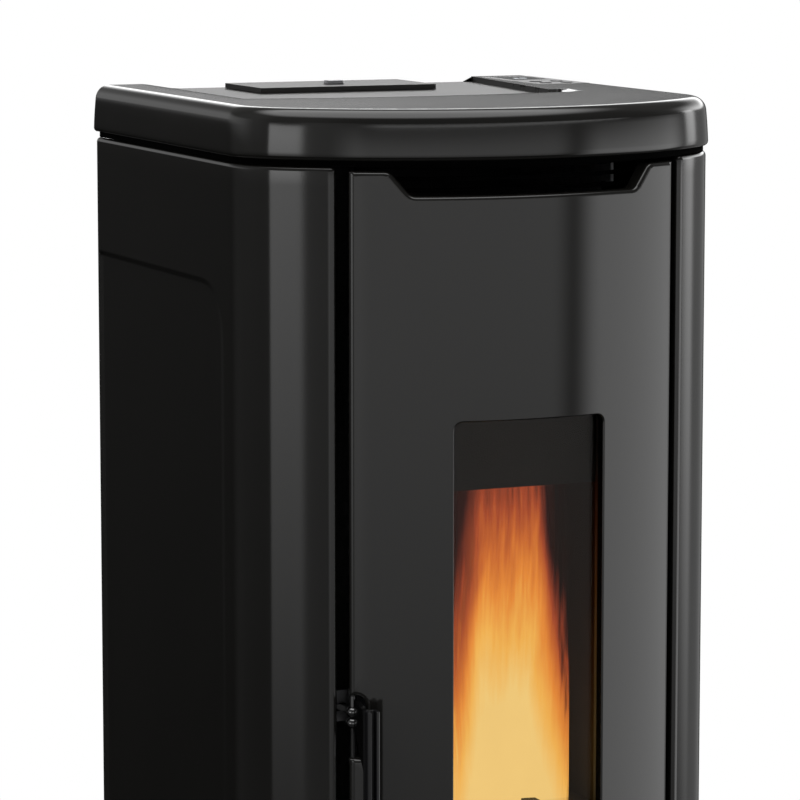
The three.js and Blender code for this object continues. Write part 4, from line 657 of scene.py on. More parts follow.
class Plan:
    """The casing's plan: a bowed front, two round corners, straight sides and a flat rear."""

    def __init__(self, sizes):
        side_low, side_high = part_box("left_side_panel")
        self.half = -side_low[0]
        self.rear = side_high[1]
        self.foot = side_low[2]
        self.top = side_high[2]
        self.bow = sizes.bow_radius
        self.corner = sizes.corner_radius
        self.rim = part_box("top_cover")[1].z
        door_low, door_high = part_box("door_skin")
        self.apex = door_low.y
        self.door_half = door_high.x
        self.centre = self.apex + self.bow
        self.corner_x = self.half - self.corner
        reach = self.bow - self.corner
        self.corner_y = self.centre - math.sqrt(reach ** 2 - self.corner_x ** 2)
        self.blend = math.asin(self.corner_x / reach)

    def front(self, angle, inset=0.0):
        """The point of the front and its corners where the casing faces by angle from -Y."""
        if abs(angle) <= self.blend:
            radius = self.bow - inset
            return Vector((radius * math.sin(angle), self.centre - radius * math.cos(angle)))
        radius = self.corner - inset
        side = math.copysign(self.corner_x, angle)
        return Vector(
            (side + radius * math.sin(angle), self.corner_y - radius * math.cos(angle))
        )

    def angle_at(self, x, inset=0.0):
        return math.asin(max(-1.0, min(1.0, x / (self.bow - inset))))

    def bow_y(self, x, inset=0.0):
        return self.centre - math.sqrt((self.bow - inset) ** 2 - x * x)

    def path(self, start, end, inset=0.0, step=1.5):
        """Points of the front between two facing angles, about step degrees apart."""
        count = max(1, round(abs(math.degrees(end - start)) / step))
        return [self.front(start + (end - start) * i / count, inset) for i in range(count + 1)]

    def outline(self, inset, spacing=0.012):
        """The whole plan, anticlockwise from the left rear corner."""
        quarter = math.pi / 2
        half = self.half - inset
        around = self.path(-quarter, quarter, inset)
        sides = round((self.rear - self.corner_y) / spacing)
        left = [
            Vector((-half, self.rear + (self.corner_y - self.rear) * i / sides))
            for i in range(sides)
        ]
        right = [Vector((-p.x, p.y)) for p in reversed(left)]
        across = round(2 * self.half / spacing)
        back = [Vector((half - 2 * half * i / across, self.rear)) for i in range(1, across)]
        return left + around + right + back


def fillet(corner, before, after, radius, steps):
    """Points on the arc that rounds a corner; before and after run from it along its sides."""
    half_turn = before.angle(after) / 2
    reach = radius / math.tan(half_turn)
    start = corner + before.normalized() * reach
    end = corner + after.normalized() * reach
    centre = corner + (before.normalized() + after.normalized()).normalized() * (
        radius / math.sin(half_turn)
    )
    first = start - centre
    sweep = first.angle_signed(end - centre)
    return [centre + Matrix.Rotation(-sweep * k / steps, 2) @ first for k in range(steps + 1)]


def rounded(points, radius, steps=4):
    """A closed outline with its corners rounded; radius is one number or one for each point."""
    straight = math.radians(178)
    made = []
    for i, point in enumerate(points):
        size = radius[i] if isinstance(radius, (list, tuple)) else radius
        before = points[i - 1] - point
        after = points[(i + 1) % len(points)] - point
        if size <= 0 or before.angle(after) > straight:
            made.append(point.copy())
        else:
            made += fillet(point, before, after, size, steps)
    return made


def rounded_path(points, radius, steps=5):
    """An open path with the corner at its second point rounded."""
    corner = points[1]
    before = points[0] - corner
    after = points[2] - corner
    reach = radius / math.tan(before.angle(after) / 2)
    clear = 1.05
    rest = points[2:]
    while rest and (rest[0] - corner).length < reach * clear:
        rest = rest[1:]
    return points[:1] + fillet(corner, before, after, radius, steps) + rest


def rectangle(x0, x1, z0, z1):
    return [Vector((x0, z0)), Vector((x1, z0)), Vector((x1, z1)), Vector((x0, z1))]


def moved_in(points, distance):
    """An anticlockwise outline drawn in by a distance, with mitred corners."""
    sharpest = 0.3
    made = []
    for i, point in enumerate(points):
        before = (point - points[i - 1]).normalized()
        after = (points[(i + 1) % len(points)] - point).normalized()
        left = Vector((-after.y, after.x))
        mitre = (Vector((-before.y, before.x)) + left).normalized()
        shrink = max(sharpest, mitre.dot(left))
        made.append(point + mitre * (distance / shrink))
    return made


def rim_levels(radius, thickness, steps=5):
    """Inset and depth round a rolled rim, from the front face to the back face."""
    turns = [math.radians(90 * i / steps) for i in range(steps + 1)]
    front = [(radius * (1 - math.cos(a)), radius * (1 - math.sin(a))) for a in turns]
    back = [(radius * (1 - math.cos(a)), radius + (thickness - radius) * math.sin(a))
            for a in turns[1:]]
    return front[::-1] + back


def plate(bm, rims, thickness):
    """A sheet in X and Z with its front face in y = 0; rims are outlines, radii and directions."""
    fronts, backs = [], []
    for outline, radius, inwards in rims:
        rings = [
            [bm.verts.new((p.x, depth, p.y)) for p in moved_in(outline, inset * inwards)]
            for inset, depth in rim_levels(radius, thickness)
        ]
        join_rings(bm, rings)
        fronts.append(rings[0])
        backs.append(rings[-1])
    for rings in (fronts, backs):
        borders = [bm.edges.get(pair) for ring in rings for pair in zip(ring, ring[1:] + ring[:1])]
        bmesh.ops.triangle_fill(bm, edges=borders, use_beauty=True)


def wall(bm, outer, inner, y0, y1):
    """A standing wall between two outlines with as many points, from y0 back to y1."""
    loops = [
        [bm.verts.new((p.x, y, p.y)) for p in loop]
        for loop, y in ((outer, y0), (outer, y1), (inner, y1), (inner, y0))
    ]
    join_rings(bm, [*loops, loops[0]])


def bend(bm, plan, spacing=0.004):
    """Wraps flat work round the bowed front; y in the flat is depth behind the front."""
    reach = max(abs(v.co.x) for v in bm.verts)
    for k in range(-int(reach / spacing), int(reach / spacing) + 1):
        bmesh.ops.bisect_plane(
            bm,
            geom=bm.verts[:] + bm.edges[:] + bm.faces[:],
            plane_co=(k * spacing, 0.0, 0.0),
            plane_no=(1.0, 0.0, 0.0),
            dist=1e-6,
        )
    for v in bm.verts:
        place = plan.front(plan.angle_at(v.co.x), v.co.y)
        v.co.x, v.co.y = place.x, place.y


def folded_sheet(bm, plan, casing, outline, openings=()):
    """A sheet with rolled and folded edges, bowed like the casing's front."""
    plate(bm, [(outline, casing.rolled, 1.0), *openings], casing.sheet)
    folded = moved_in(outline, casing.sheet)
    wall(bm, moved_in(outline, HAIR), folded, casing.rolled, casing.fold)
    bend(bm, plan)


def revolve(bm, profile, segments, centre):
    """Turns a profile of (radius, height) pairs round an upright axis through centre."""
    rings = []
    for radius, height in profile:
        turns = [2 * math.pi * i / segments for i in range(segments if radius else 1)]
        rings.append([
            bm.verts.new(Vector((radius * math.cos(a), radius * math.sin(a), height)) + centre)
            for a in turns
        ])
    for low, high in zip(rings, rings[1:]):
        for i in range(segments):
            j = (i + 1) % segments
            corners = [low[i % len(low)], low[j % len(low)], high[j % len(high)],
                       high[i % len(high)]]
            bm.faces.new(list(dict.fromkeys(corners)))


def arc_profile(x, z, radius, start, end, steps):
    """Points on an arc in a profile, angles in degrees from straight out."""
    return [
        (x + radius * math.cos(math.radians(start + (end - start) * i / steps)),
         z + radius * math.sin(math.radians(start + (end - start) * i / steps)))
        for i in range(steps + 1)
    ]


# ---------------------------------------------------------------- side panels


def ease(value):
    """Goes smoothly from 0 to 1 as the value does, and stays level outside that."""
    share = min(1.0, max(0.0, value))
    return share * share * (3 - 2 * share)


def pressed_in(y, z, plan, sizes):
    """How deep the pressed field of a side panel lies at a point."""
    radius = sizes.recess_radius
    slope, front_slope = sizes.recess_slope, sizes.recess_front_slope
    across = plan.apex + sizes.recess_setback + radius - y
    up = max(plan.foot + sizes.recess_bottom_rise - z, z - plan.top + sizes.recess_top_drop)
    up += radius
    shift = front_slope - slope
    outside = (across - radius) / front_slope
    if across < shift * (up - radius) / slope:
        outside = (up - radius) / slope
    elif up > 0.0:
        square = shift ** 2 - slope ** 2
        half = shift * across + radius * slope
        rest = across ** 2 + up ** 2 - radius ** 2
        outside = (half - math.sqrt(max(0.0, half ** 2 - square * rest))) / square
    rear = (plan.rear - sizes.recess_rear_lip - y) / slope
    return sizes.recess_depth * ease(1.0 - outside) * ease(rear)


def rolled_in(z, plan, sizes):
    """How far the panel draws in where its upper and lower edges are rolled."""
    close = min(z - plan.foot, plan.top - z)
    if close >= sizes.rolled:
        return 0.0
    return sizes.rolled - math.sqrt(max(0.0, sizes.rolled ** 2 - (sizes.rolled - close) ** 2))


def side_section(plan, sizes):
    """A side panel's plan, from the fold of the front column to the fold at the rear."""
    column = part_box("right_side_panel")[0][0]
    fold_y = plan.bow_y(column) + sizes.fold
    along = plan.path(plan.angle_at(column + HAIR), math.pi / 2, 0.0, 1.0)
    spots = [Vector((column, fold_y)), Vector((column, plan.bow_y(column)))]
    fine, medium, coarse = 0.0012, 0.0025, 0.012
    first_line, before_lip, near_corner = 0.01, 0.002, 0.0035
    lines = [plan.corner_y + first_line]
    lip = plan.apex + sizes.recess_setback - sizes.recess_front_slope
    while lines[-1] < lip - 2 * before_lip:
        lines.append(min(lines[-1] + first_line, lip - before_lip))
    for end, step in ((lip + 0.03, fine), (lip + 0.06, medium),
                      (plan.rear - 0.024, coarse), (plan.rear - 0.005, fine)):
        while lines[-1] < end:
            lines.append(lines[-1] + step)
    rear = [Vector((plan.half, y)) for y in lines if y < plan.rear - near_corner]
    corner = Vector((plan.half, plan.rear))
    end = Vector((plan.half - sizes.rear_return, plan.rear))
    first = rounded_path([*spots, *along[1:6]], sizes.rolled)
    last = rounded_path([rear[-1], corner, end], sizes.rear_radius)
    return first + along[6:] + rear + last[1:]


def spaced(low, high, dense, fine, coarse):
    """Heights from low to high, close together inside the dense spans."""
    values = [low]
    while values[-1] < high - 1e-6:
        here = values[-1]
        inside = any(a <= here <= b for a, b in dense)
        step = fine if inside else coarse
        if not inside:
            ahead = [a for a, b in dense if a > here]
            if ahead:
                step = min(step, max(ahead[0] - here, 1e-4))
        values.append(min(high, here + step))
    return values


def side_panel(bm, plan, sizes, side):
    """One wrapped side panel, as an outer and an inner sheet of points joined at their edges."""
    fine, coarse, dense = 0.0013, 0.016, 0.03
    on_side = 0.003
    path = side_section(plan, sizes)
    low = plan.foot + sizes.recess_bottom_rise
    high = plan.top - sizes.recess_top_drop
    near = sizes.recess_slope + 0.002
    heights = spaced(
        plan.foot, plan.top, [(low - near, low + dense), (high - dense, high + near)], fine, coarse
    )
    turns = [math.radians(90 * i / 5) for i in range(1, 6)]
    reach = [sizes.rolled * (1 - math.cos(turn)) for turn in turns]
    heights = sorted({*heights, *(plan.foot + r for r in reach), *(plan.top - r for r in reach)})
    normals = []
    for i in range(len(path)):
        run = (path[min(len(path) - 1, i + 1)] - path[max(0, i - 1)]).normalized()
        normals.append(Vector((run.y, -run.x)))
    outer, inner = [], []
    straight = plan.corner_y + 0.001
    for z in heights:
        for faces, extra in ((outer, 0.0), (inner, sizes.sheet)):
            row = []
            for point, normal in zip(path, normals):
                depth = extra + rolled_in(z, plan, sizes)
                if point.x > plan.half - on_side and point.y > straight:
                    depth += pressed_in(point.y, z, plan, sizes)
                spot = point - normal * depth
                row.append(bm.verts.new((side * spot.x, spot.y, z)))
            faces.append(row)
    join_rows(bm, outer)
    join_rows(bm, inner)
    for end in (0, -1):
        join_rows(bm, [outer[end], inner[end]])
    for end in (0, -1):
        join_rows(bm, [[row[end] for row in face] for face in (outer, inner)])


class StoveSidePanels(bpy.types.Operator):
    """Wraps the two side panels round the front corners, with a pressed field in each side"""

    bl_idname = "stove.side_panels"
    bl_label = "Side panels"

    def execute(self, context):
        sizes = context.scene.stove_casing
        plan = Plan(sizes)
        for name, side in (("left_side_panel", -1), ("right_side_panel", 1)):
            mesh = mesh_from(name, lambda bm: side_panel(bm, plan, sizes, side))
            piece_from(mesh, "dressed_" + name, "casing", paint(), [name])
        return {"FINISHED"}


# ---------------------------------------------------------------- cover


class Dish:
    """The cover's dished field: soft slopes to the left and front, an upright wall to the right."""

    def __init__(self, plan, sizes):
        self.sizes = sizes
        self.crown = plan.apex + sizes.dish_front_setback
        self.flatness = 4 * plan.bow
        self.near = Vector((sizes.wall_front_x, plan.apex + sizes.wall_setback))
        self.far = Vector((sizes.wall_rear_x, plan.rear))
        run = (self.far - self.near).normalized()
        self.across = Vector((run.y, -run.x))

    def drop(self, x, y):
        """How far the surface lies below the cover's rim."""
        sizes = self.sizes
        left = ease((x + sizes.dish_left) / sizes.dish_side_ramp)
        crown = self.crown + x * x / self.flatness
        front = ease((y - crown) / sizes.dish_front_ramp)
        if y < self.near.y:
            right = 1.0 - ease((x - self.near.x) / sizes.step_length)
        else:
            right = 1.0 if (Vector((x, y)) - self.near).dot(self.across) < 0.0 else 0.0
        return sizes.dish_depth * min(left, front, right)

    def lines(self):
        """Cuts that give the wall and the step before it their sharp edges."""
        hair = 0.00015
        step_cuts = 6
        wall_normal = (self.across.x, self.across.y, 0.0)
        for shift in (-hair, hair):
            spot = self.near + self.across * shift
            yield (spot.x, spot.y, 0.0), wall_normal
            yield (0.0, self.near.y + shift, 0.0), (0.0, 1.0, 0.0)
        for k in range(step_cuts + 1):
            x = self.near.x + self.sizes.step_length * k / step_cuts
            yield (x, 0.0, 0.0), (1.0, 0.0, 0.0)


def cover_profile(sizes):
    """Inset and height of the cover's edge, from inside its foot to the start of the flat top."""
    inner_height = 0.004
    foot_steps, side_steps, top_steps = 4, 8, 12
    levels = [(sizes.skin, inner_height), (sizes.skin, 0.0)]
    for i in range(foot_steps + 1):
        tilt = math.radians(90 * i / foot_steps)
        levels.append((sizes.foot_radius * (1 - math.sin(tilt)),
                       sizes.foot_radius * (1 - math.cos(tilt))))
    lean = sizes.upper_lean
    start = sizes.height - sizes.edge_radius * (1 - math.sin(lean))
    inset, rise = levels[-1]
    for i in range(side_steps):
        tilt = sizes.lower_lean + (lean - sizes.lower_lean) * (i + 0.5) / side_steps
        inset += math.tan(tilt) * (start - sizes.foot_radius) / side_steps
        rise += (start - sizes.foot_radius) / side_steps
        levels.append((inset, rise))
    for i in range(1, top_steps + 1):
        tilt = lean + (math.pi / 2 - lean) * i / top_steps
        levels.append((inset + sizes.edge_radius * (math.cos(lean) - math.cos(tilt)),
                       start + sizes.edge_radius * (math.sin(tilt) - math.sin(lean))))
    return levels


COVER_PAINT, COVER_TEXTURE, COVER_SHADE = range(3)


def cover_skin(bm, plan, sizes):
    """The cover's rounded edge all round; returns the flat top as one face."""
    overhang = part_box("top_cover")[1].x - plan.half
    foot = plan.rim - sizes.height
    rings = [
        [bm.verts.new((p.x, p.y, foot + rise)) for p in plan.outline(inset - overhang)]
        for inset, rise in cover_profile(sizes)
    ]
    join_rings(bm, rings)
    return bm.faces.new(rings[-1])


def skirt(bm, plan, sizes, low, high):
    """The strip under the cover that shades the joint, along the front and both sides, in painted
    shade.
    """
    walls = []
    for inset in (sizes.skirt_inset, sizes.skirt_inset + sizes.skirt_wall):
        half = plan.half - inset
        path = plan.path(-math.pi / 2, math.pi / 2, inset)
        rear = plan.rear - sizes.skin
        walls.append([Vector((-half, rear)), *path, Vector((half, rear))])
    outer, inner = walls
    rows = [
        [bm.verts.new((p.x, p.y, z)) for p in points]
        for points, z in ((outer, high), (outer, low), (inner, low), (inner, high))
    ]
    made = join_rows(bm, [*rows, rows[0]])
    for end in (0, -1):
        made.append(bm.faces.new([row[end] for row in rows]))
    for face in made:
        # the skirt takes the dead flat black of painted shade
        face.material_index = COVER_SHADE


def cut_faces(bm, faces, origin, normal):
    """Cuts only the given faces along a plane and returns all their parts."""
    edges = {e for f in faces for e in f.edges}
    corners = {v for f in faces for v in f.verts}
    result = bmesh.ops.bisect_plane(
        bm, geom=[*corners, *edges, *faces], plane_co=origin, plane_no=normal, dist=1e-7
    )
    return [g for g in result["geom"] if isinstance(g, bmesh.types.BMFace)]


def cover_openings(sizes):
    """The cover's holes in plan: hopper mouth, trench of the lid's hinge, control panel."""
    lid_low, lid_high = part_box("hopper_lid")
    pin_low, pin_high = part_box("lid_hinge_pin")
    panel_low, panel_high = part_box("control_panel")
    middle = (pin_low + pin_high) / 2
    lap = sizes.lid_lap
    gap = sizes.panel_gap
    return [
        (lid_low.x + lap, lid_high.x - lap, lid_low.y + lap,
         middle.y - sizes.trench_radius - sizes.trench_wall),
        (middle.x - sizes.trench_half, middle.x + sizes.trench_half,
         middle.y - sizes.trench_radius, middle.y + sizes.trench_radius),
        (panel_low.x - gap, panel_high.x + gap, panel_low.y - gap, panel_high.y + gap),
    ]


def within(face, openings):
    at = face.calc_center_median()
    return any(x0 < at.x < x1 and y0 < at.y < y1 for x0, x1, y0, y1 in openings)


def cover_shape(bm, plan, sizes):
    """The whole cover: its skin, the dish pressed into it, its openings and the skirt."""
    spacing, ramp_spacing, ramp_cuts = 0.01, 0.004, 10
    textured_share = 0.6
    dish = Dish(plan, sizes)
    openings = cover_openings(sizes)
    faces = [cover_skin(bm, plan, sizes)]
    reach = int(plan.half / spacing)
    deep = int((plan.rear - plan.apex) / spacing)
    columns = [spacing * k for k in range(-reach, reach + 1)]
    columns += [ramp_spacing * k - sizes.dish_left for k in range(ramp_cuts + 1)]
    columns += [x for x0, x1, y0, y1 in openings for x in (x0, x1)]
    rows = [plan.apex + spacing * k for k in range(1, deep + 1)]
    rows += [y for x0, x1, y0, y1 in openings for y in (y0, y1)]
    lines = [((x, 0.0, 0.0), (1.0, 0.0, 0.0)) for x in columns]
    lines += [((0.0, y, 0.0), (0.0, 1.0, 0.0)) for y in rows]
    for origin, normal in [*lines, *dish.lines()]:
        faces = cut_faces(bm, faces, origin, normal)
    for corner in bm.verts:
        floor = plan.rim - dish.drop(corner.co.x, corner.co.y)
        corner.co.z = min(corner.co.z, floor)
    for face in faces:
        at = face.calc_center_median()
        textured = dish.drop(at.x, at.y) > sizes.dish_depth * textured_share
        face.material_index = COVER_TEXTURE if textured else COVER_PAINT
    holes = {f for f in faces if within(f, openings)}
    borders = [e for e in {e for f in holes for e in f.edges}
               if len(holes.intersection(e.link_faces)) == 1]
    walls = bmesh.ops.extrude_edge_only(bm, edges=borders)
    for part in walls["geom"]:
        if isinstance(part, bmesh.types.BMVert):
            part.co.z -= sizes.skin + sizes.dish_depth - dish.drop(part.co.x, part.co.y)
    bmesh.ops.delete(bm, geom=list(holes), context="FACES")
    under = plan.rim - sizes.dish_depth - sizes.skin
    skirt(bm, plan, sizes, plan.top + sizes.panel_gap, under)


class StoveCover(bpy.types.Operator):
    """Moulds the cover with its rounded edge, dished field and openings"""

    bl_idname = "stove.cover"
    bl_label = "Cover"

    def execute(self, context):
        scene = context.scene
        sizes = scene.stove_cover
        plan = Plan(scene.stove_casing)
        mesh = mesh_from("cover", lambda bm: cover_shape(bm, plan, sizes))
        piece_from(
            mesh, "dressed_cover", "casing", [paint(), dish_paint(), painted_shade_black()],
            ["top_cover"], angle=50.0,
        )
        return {"FINISHED"}


# ---------------------------------------------------------------- door


def door_outline(plan, sizes):
    """The door's outline in X and Z, with the warm-air notch and the cut-out for the latch."""
    low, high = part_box("door_skin")
    half = plan.door_half
    latch_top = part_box("latch_handle")[1].z + sizes.latch_gap
    latch_low = latch_top - sizes.latch_height
    notch_z = plan.rim - sizes.notch_drop
    cut = half - sizes.latch_width
    points = [
        (-half, low.z, 0.0), (half, low.z, 0.0), (half, high.z, 0.0),
        (sizes.notch_top, high.z, sizes.notch_radius),
        (sizes.notch_bottom, notch_z, sizes.notch_radius),
        (-sizes.notch_bottom, notch_z, sizes.notch_radius),
        (-sizes.notch_top, high.z, sizes.notch_radius),
        (-half, high.z, 0.0), (-half, latch_top, 0.0),
        (-cut, latch_top, sizes.latch_upper_radius),
        (-cut, latch_low, sizes.latch_lower_radius), (-half, latch_low, 0.0),
    ]
    return rounded([Vector(p[:2]) for p in points], [p[2] for p in points])


class StoveDoor(bpy.types.Operator):
    """Bows the door's front sheet, with its folded rim, warm-air notch and window opening"""

    bl_idname = "stove.door"
    bl_label = "Door"

    def execute(self, context):
        scene = context.scene
        casing = scene.stove_casing
        sizes = scene.stove_door
        plan = Plan(casing)
        outline = door_outline(plan, sizes)
        top = plan.rim - sizes.window_drop
        half = sizes.window_width / 2
        opening = rounded(
            rectangle(-half, half, top - sizes.window_height, top), sizes.window_radius, 8
        )
        glass_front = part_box("window_glass")[0].y - sizes.glass_gap

        def build(bm):
            folded_sheet(bm, plan, casing, outline, [(opening, sizes.window_rim, -1.0)])
            outer = moved_in(opening, -sizes.reveal)
            rings = [
                [bm.verts.new((p.x, glass_front if back else plan.bow_y(p.x, sizes.window_rim), p.y))
                 for p in loop]
                for loop, back in ((opening, False), (opening, True), (outer, True), (outer, False))
            ]
            # the wall round the window is painted dead black as shade
            for face in join_rings(bm, [*rings, rings[0]]):
                face.material_index = 1

        mesh = mesh_from("door_front", build)
        made = piece_from(
            mesh, "dressed_door_front", "door", [paint(), painted_shade_black()],
            ["door_skin"],
        )
        weighted(made)
        return {"FINISHED"}


# ---------------------------------------------------------------- latch


def block(bm, low, high):
    """A square-edged block between two corners."""
    for corner in bmesh.ops.create_cube(bm, size=1.0)["verts"]:
        corner.co = Vector(low[i] if corner.co[i] < 0 else high[i] for i in range(3))


def latch_shape(bm, sizes):
    """The latch's two rounded collars on the pin, its arm to the grip and the hook behind."""
    arm_seat = 0.7
    pin_low, pin_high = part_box("latch_pin")
    low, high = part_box("latch_handle")
    grip_low, grip_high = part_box("handle_grip")
    axis = (pin_low + pin_high) / 2
    foot = high.z - sizes.knuckle_height
    collar = sizes.collar_height
    profile = [(0.0, foot)]
    for start in (foot, foot + collar):
        profile += arc_profile(
            sizes.collar_radius - collar / 2, start + collar / 2, collar / 2, -80, 80, 12
        )
    profile += [(sizes.neck_radius, foot + 2 * collar), (sizes.neck_radius, high.z), (0.0, high.z)]
    revolve(bm, profile, 28, Vector((axis.x, axis.y, 0.0)))
    near = grip_high.y + sizes.latch_play
    back = axis.y - sizes.collar_radius * arm_seat
    middle = (axis.x + grip_low.x / 2 + grip_high.x / 2) / 2
    outline = [
        (near, low.z), (back, foot + sizes.arm_drop), (back, high.z - sizes.arm_top),
        (near, grip_high.z - sizes.arm_top),
    ]
    sides = [
        [bm.verts.new((middle + shift, y, z)) for y, z in outline]
        for shift in (-sizes.arm_width / 2, sizes.arm_width / 2)
    ]
    join_rings(bm, sides)
    bm.faces.new(sides[0])
    bm.faces.new(sides[1])
    half = sizes.tongue_width / 2
    tongue_z = high.z - sizes.knuckle_height / 2
    end = (axis.x + half, high.y, tongue_z + half)
    block(bm, (axis.x - half, axis.y, tongue_z - half), end)
    block(bm, (low.x, high.y - 2 * half, tongue_z - half), end)


class StoveLatch(bpy.types.Operator):
    """Turns the latch's collars and adds its arm and hook"""

    bl_idname = "stove.latch"
    bl_label = "Latch"

    def execute(self, context):
        sizes = context.scene.stove_latch
        mesh = mesh_from("latch", lambda bm: latch_shape(bm, sizes))
        piece_from(
            mesh, "dressed_latch", "latch", gloss_black(), ["latch_handle"]
        )
        return {"FINISHED"}


# ---------------------------------------------------------------- signs and figures


MARKS = {
    # bars as middle x, middle y, width and depth, in millimetres
    "button_plus": ("plus_button", [(0, 0, 5, 0.9), (0, 0, 0.9, 5)]),
    "button_minus": ("minus_button", [(0, 0, 5, 0.9)]),
    "button_menu": ("menu_button", [(0, -1.7, 5, 0.8), (0, 0, 5, 0.8), (0, 1.7, 5, 0.8)]),
    "button_power": ("power_button", [(0, 2.2, 0.9, 3)]),
}
SEGMENTS = {
    # bars of a seven-bar figure, as shares of its half width and half height
    "top": (0, 1, 1, 0), "middle": (0, 0, 1, 0), "foot": (0, -1, 1, 0),
    "upper left": (-1, 0.5, 0, 1), "upper right": (1, 0.5, 0, 1),
    "lower left": (-1, -0.5, 0, 1), "lower right": (1, -0.5, 0, 1),
}
FIGURES = (
    ("top", "upper right", "middle", "lower left", "foot"),
    ("top", "upper left", "upper right", "lower left", "lower right", "foot"),
)
# the figures in the display, in millimetres
FIGURE_SHIFT = 4.0           # middle of the display to the middle of each figure
FIGURE_HALF = (2.2, 4.2)     # half width and half height of a figure
FIGURE_BAR = 0.8             # width of a bar
FIGURE_LENGTHS = (3.0, 2.6)  # what a level and an upright bar are longer than wide


def bars(bm, centre, top, marks):
    """Thin printed bars on a level face."""
    print_height = 0.00012
    for x, y, wide, deep in marks:
        middle = centre + Vector((x, y)) * MILLIMETRE
        half = Vector((wide, deep)) * (MILLIMETRE / 2)
        block(bm, (*(middle - half), top - HAIR), (*(middle + half), top + print_height))


def ring_bars(count, radius, gap):
    """Short bars round a circle that is open towards the rear."""
    spots = []
    for i in range(count):
        angle = math.radians(90 + gap + (360 - 2 * gap) * i / (count - 1))
        spots.append((radius * math.cos(angle), radius * math.sin(angle), 0.9, 0.9))
    return spots


class StoveMarks(bpy.types.Operator):
    """Prints plain signs on the buttons and lights two figures in the display"""

    bl_idname = "stove.marks"
    bl_label = "Signs and figures"

    def execute(self, context):
        for node, (body, marks) in MARKS.items():
            low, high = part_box(node)
            centre = ((low + high) / 2).xy
            if node == "button_power":
                marks = marks + ring_bars(count=22, radius=2.6, gap=35)
            mesh = mesh_from(node, lambda bm: bars(bm, centre, high.z, marks))
            piece_from(mesh, "sign_" + node, body, lamp_ink())
        low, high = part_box("display_window")
        centre = ((low + high) / 2).xy
        lit = []
        half_width, half_height = FIGURE_HALF
        level, upright = FIGURE_LENGTHS
        for figure, shift in zip(FIGURES, (-FIGURE_SHIFT, FIGURE_SHIFT)):
            for name in figure:
                x, y, across, along = SEGMENTS[name]
                lit.append((shift + half_width * x, half_height * y,
                            FIGURE_BAR + level * across, FIGURE_BAR + upright * along))
        mesh = mesh_from("figures", lambda bm: bars(bm, centre, high.z, lit))
        piece_from(mesh, "display_figures", "casing", lit_digits())
        return {"FINISHED"}


# ---------------------------------------------------------------- drawer front and plinth


def drawer_outline(plan, casing):
    """The drawer front's outline in X and Z, with its finger notch in the top edge."""
    low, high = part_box("ash_drawer_front")
    half = plan.door_half
    notch = casing.notch_half
    drop = casing.notch_depth
    points = [
        (-half, low.z, 0.0), (half, low.z, 0.0), (half, high.z, 0.0),
        (notch, high.z, casing.notch_radius),
        (notch - drop, high.z - drop, casing.notch_radius),
        (-notch + drop, high.z - drop, casing.notch_radius),
        (-notch, high.z, casing.notch_radius), (-half, high.z, 0.0),
    ]
    return rounded([Vector(p[:2]) for p in points], [p[2] for p in points])


class StoveFrontPanels(bpy.types.Operator):
    """Bows the ash drawer's front and the plinth"""

    bl_idname = "stove.front_panels"
    bl_label = "Drawer front and plinth"

    def execute(self, context):
        casing = context.scene.stove_casing
        plan = Plan(casing)
        drawer = drawer_outline(plan, casing)
        plinth_low, plinth_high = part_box("front_plinth")
        plinth = rectangle(-plan.door_half, plan.door_half, plinth_low.z, plinth_high.z)
        for name, outline, body in (
            ("ash_drawer_front", drawer, "ash_drawer"),
            ("front_plinth", plinth, "casing"),
        ):
            mesh = mesh_from(name, lambda bm: folded_sheet(bm, plan, casing, outline))
            made = piece_from(
                mesh, "dressed_" + name, body, paint(), [name]
            )
            weighted(made)
        return {"FINISHED"}


# ---------------------------------------------------------------- the frame's own pieces


CARRIED = (
    # finish, width of the soft edges, pieces
    (dish_paint, 0.0006, ("hopper_lid",)),
    (steel, 0.0006, ("lid_pull",)),
    (steel, 0.0004, ("strike_plate", "pellet_chute", "auger_tube")),
    (steel, 0.0003, ("lid_hinge_pin", "igniter", "hopper_grate", "auger_screw",
                     "exhaust_impeller", "room_fan_rotor")),
    (black_paint, 0.0006, ("auger_motor", "exhaust_motor")),
    (black_paint, 0.0004, ("rear_panel", "base_plate", "hinge_bracket_upper",
                           "hinge_bracket_lower", "hopper", "flue_collar")),
    (black_paint, 0.0003, ("latch_pin",)),
    (rubber, 0.0008, ("foot_front_left", "foot_front_right", "foot_rear_left",
                      "foot_rear_right")),
    (galvanised, 0.0004, ("chassis_left", "chassis_right", "smoke_duct", "air_intake_pipe",
                          "room_fan_housing", "ash_drawer_box")),
    # painted shade: the grille and the sheet behind the warm-air notch are dead flat black
    (painted_shade_black, 0.0005, ("air_outlet_grille",)),
    (painted_shade_black, 0.0006, ("heat_exchanger",)),
    (cast_iron, 0.0008, ("door_frame",)),
    (cast_iron, 0.0006, ("brazier_shelf", "brazier", "exhaust_fan_housing")),
    (sooted_iron, 0.0008, ("firebox",)),
    (firebrick, 0.0008, ("firebox_liner", "baffle_plate")),
    (window_glass, 0.0004, ("window_glass",)),
    (braid, 0.0003, ("glass_gasket",)),
    (braid, 0.002, ("door_seal",)),
    (enamel, 0.0006, ("handle_grip",)),
    (plastic, 0.0006, ("control_panel", "button_power", "button_plus", "button_minus",
                       "button_menu", "power_inlet", "rocker_switch")),
    (display_glass, 0.0004, ("display_window",)),
    (circuit, 0.0003, ("control_board",)),
)


def soften(piece, edge):
    """Joins the triangles of flat faces and rounds the sharp edges."""
    modifier(piece, "weld", "WELD", merge_threshold=0.00001)
    modifier(piece, "flat faces", "DECIMATE", decimate_type="DISSOLVE",
             angle_limit=math.radians(1.0))
    modifier(piece, "soft edges", "BEVEL", width=edge, segments=2, limit_method="ANGLE",
             angle_limit=math.radians(40), harden_normals=False)
    for face in piece.data.polygons:
        face.use_smooth = True
    modifier(piece, "even shading", "WEIGHTED_NORMAL", keep_sharp=True)


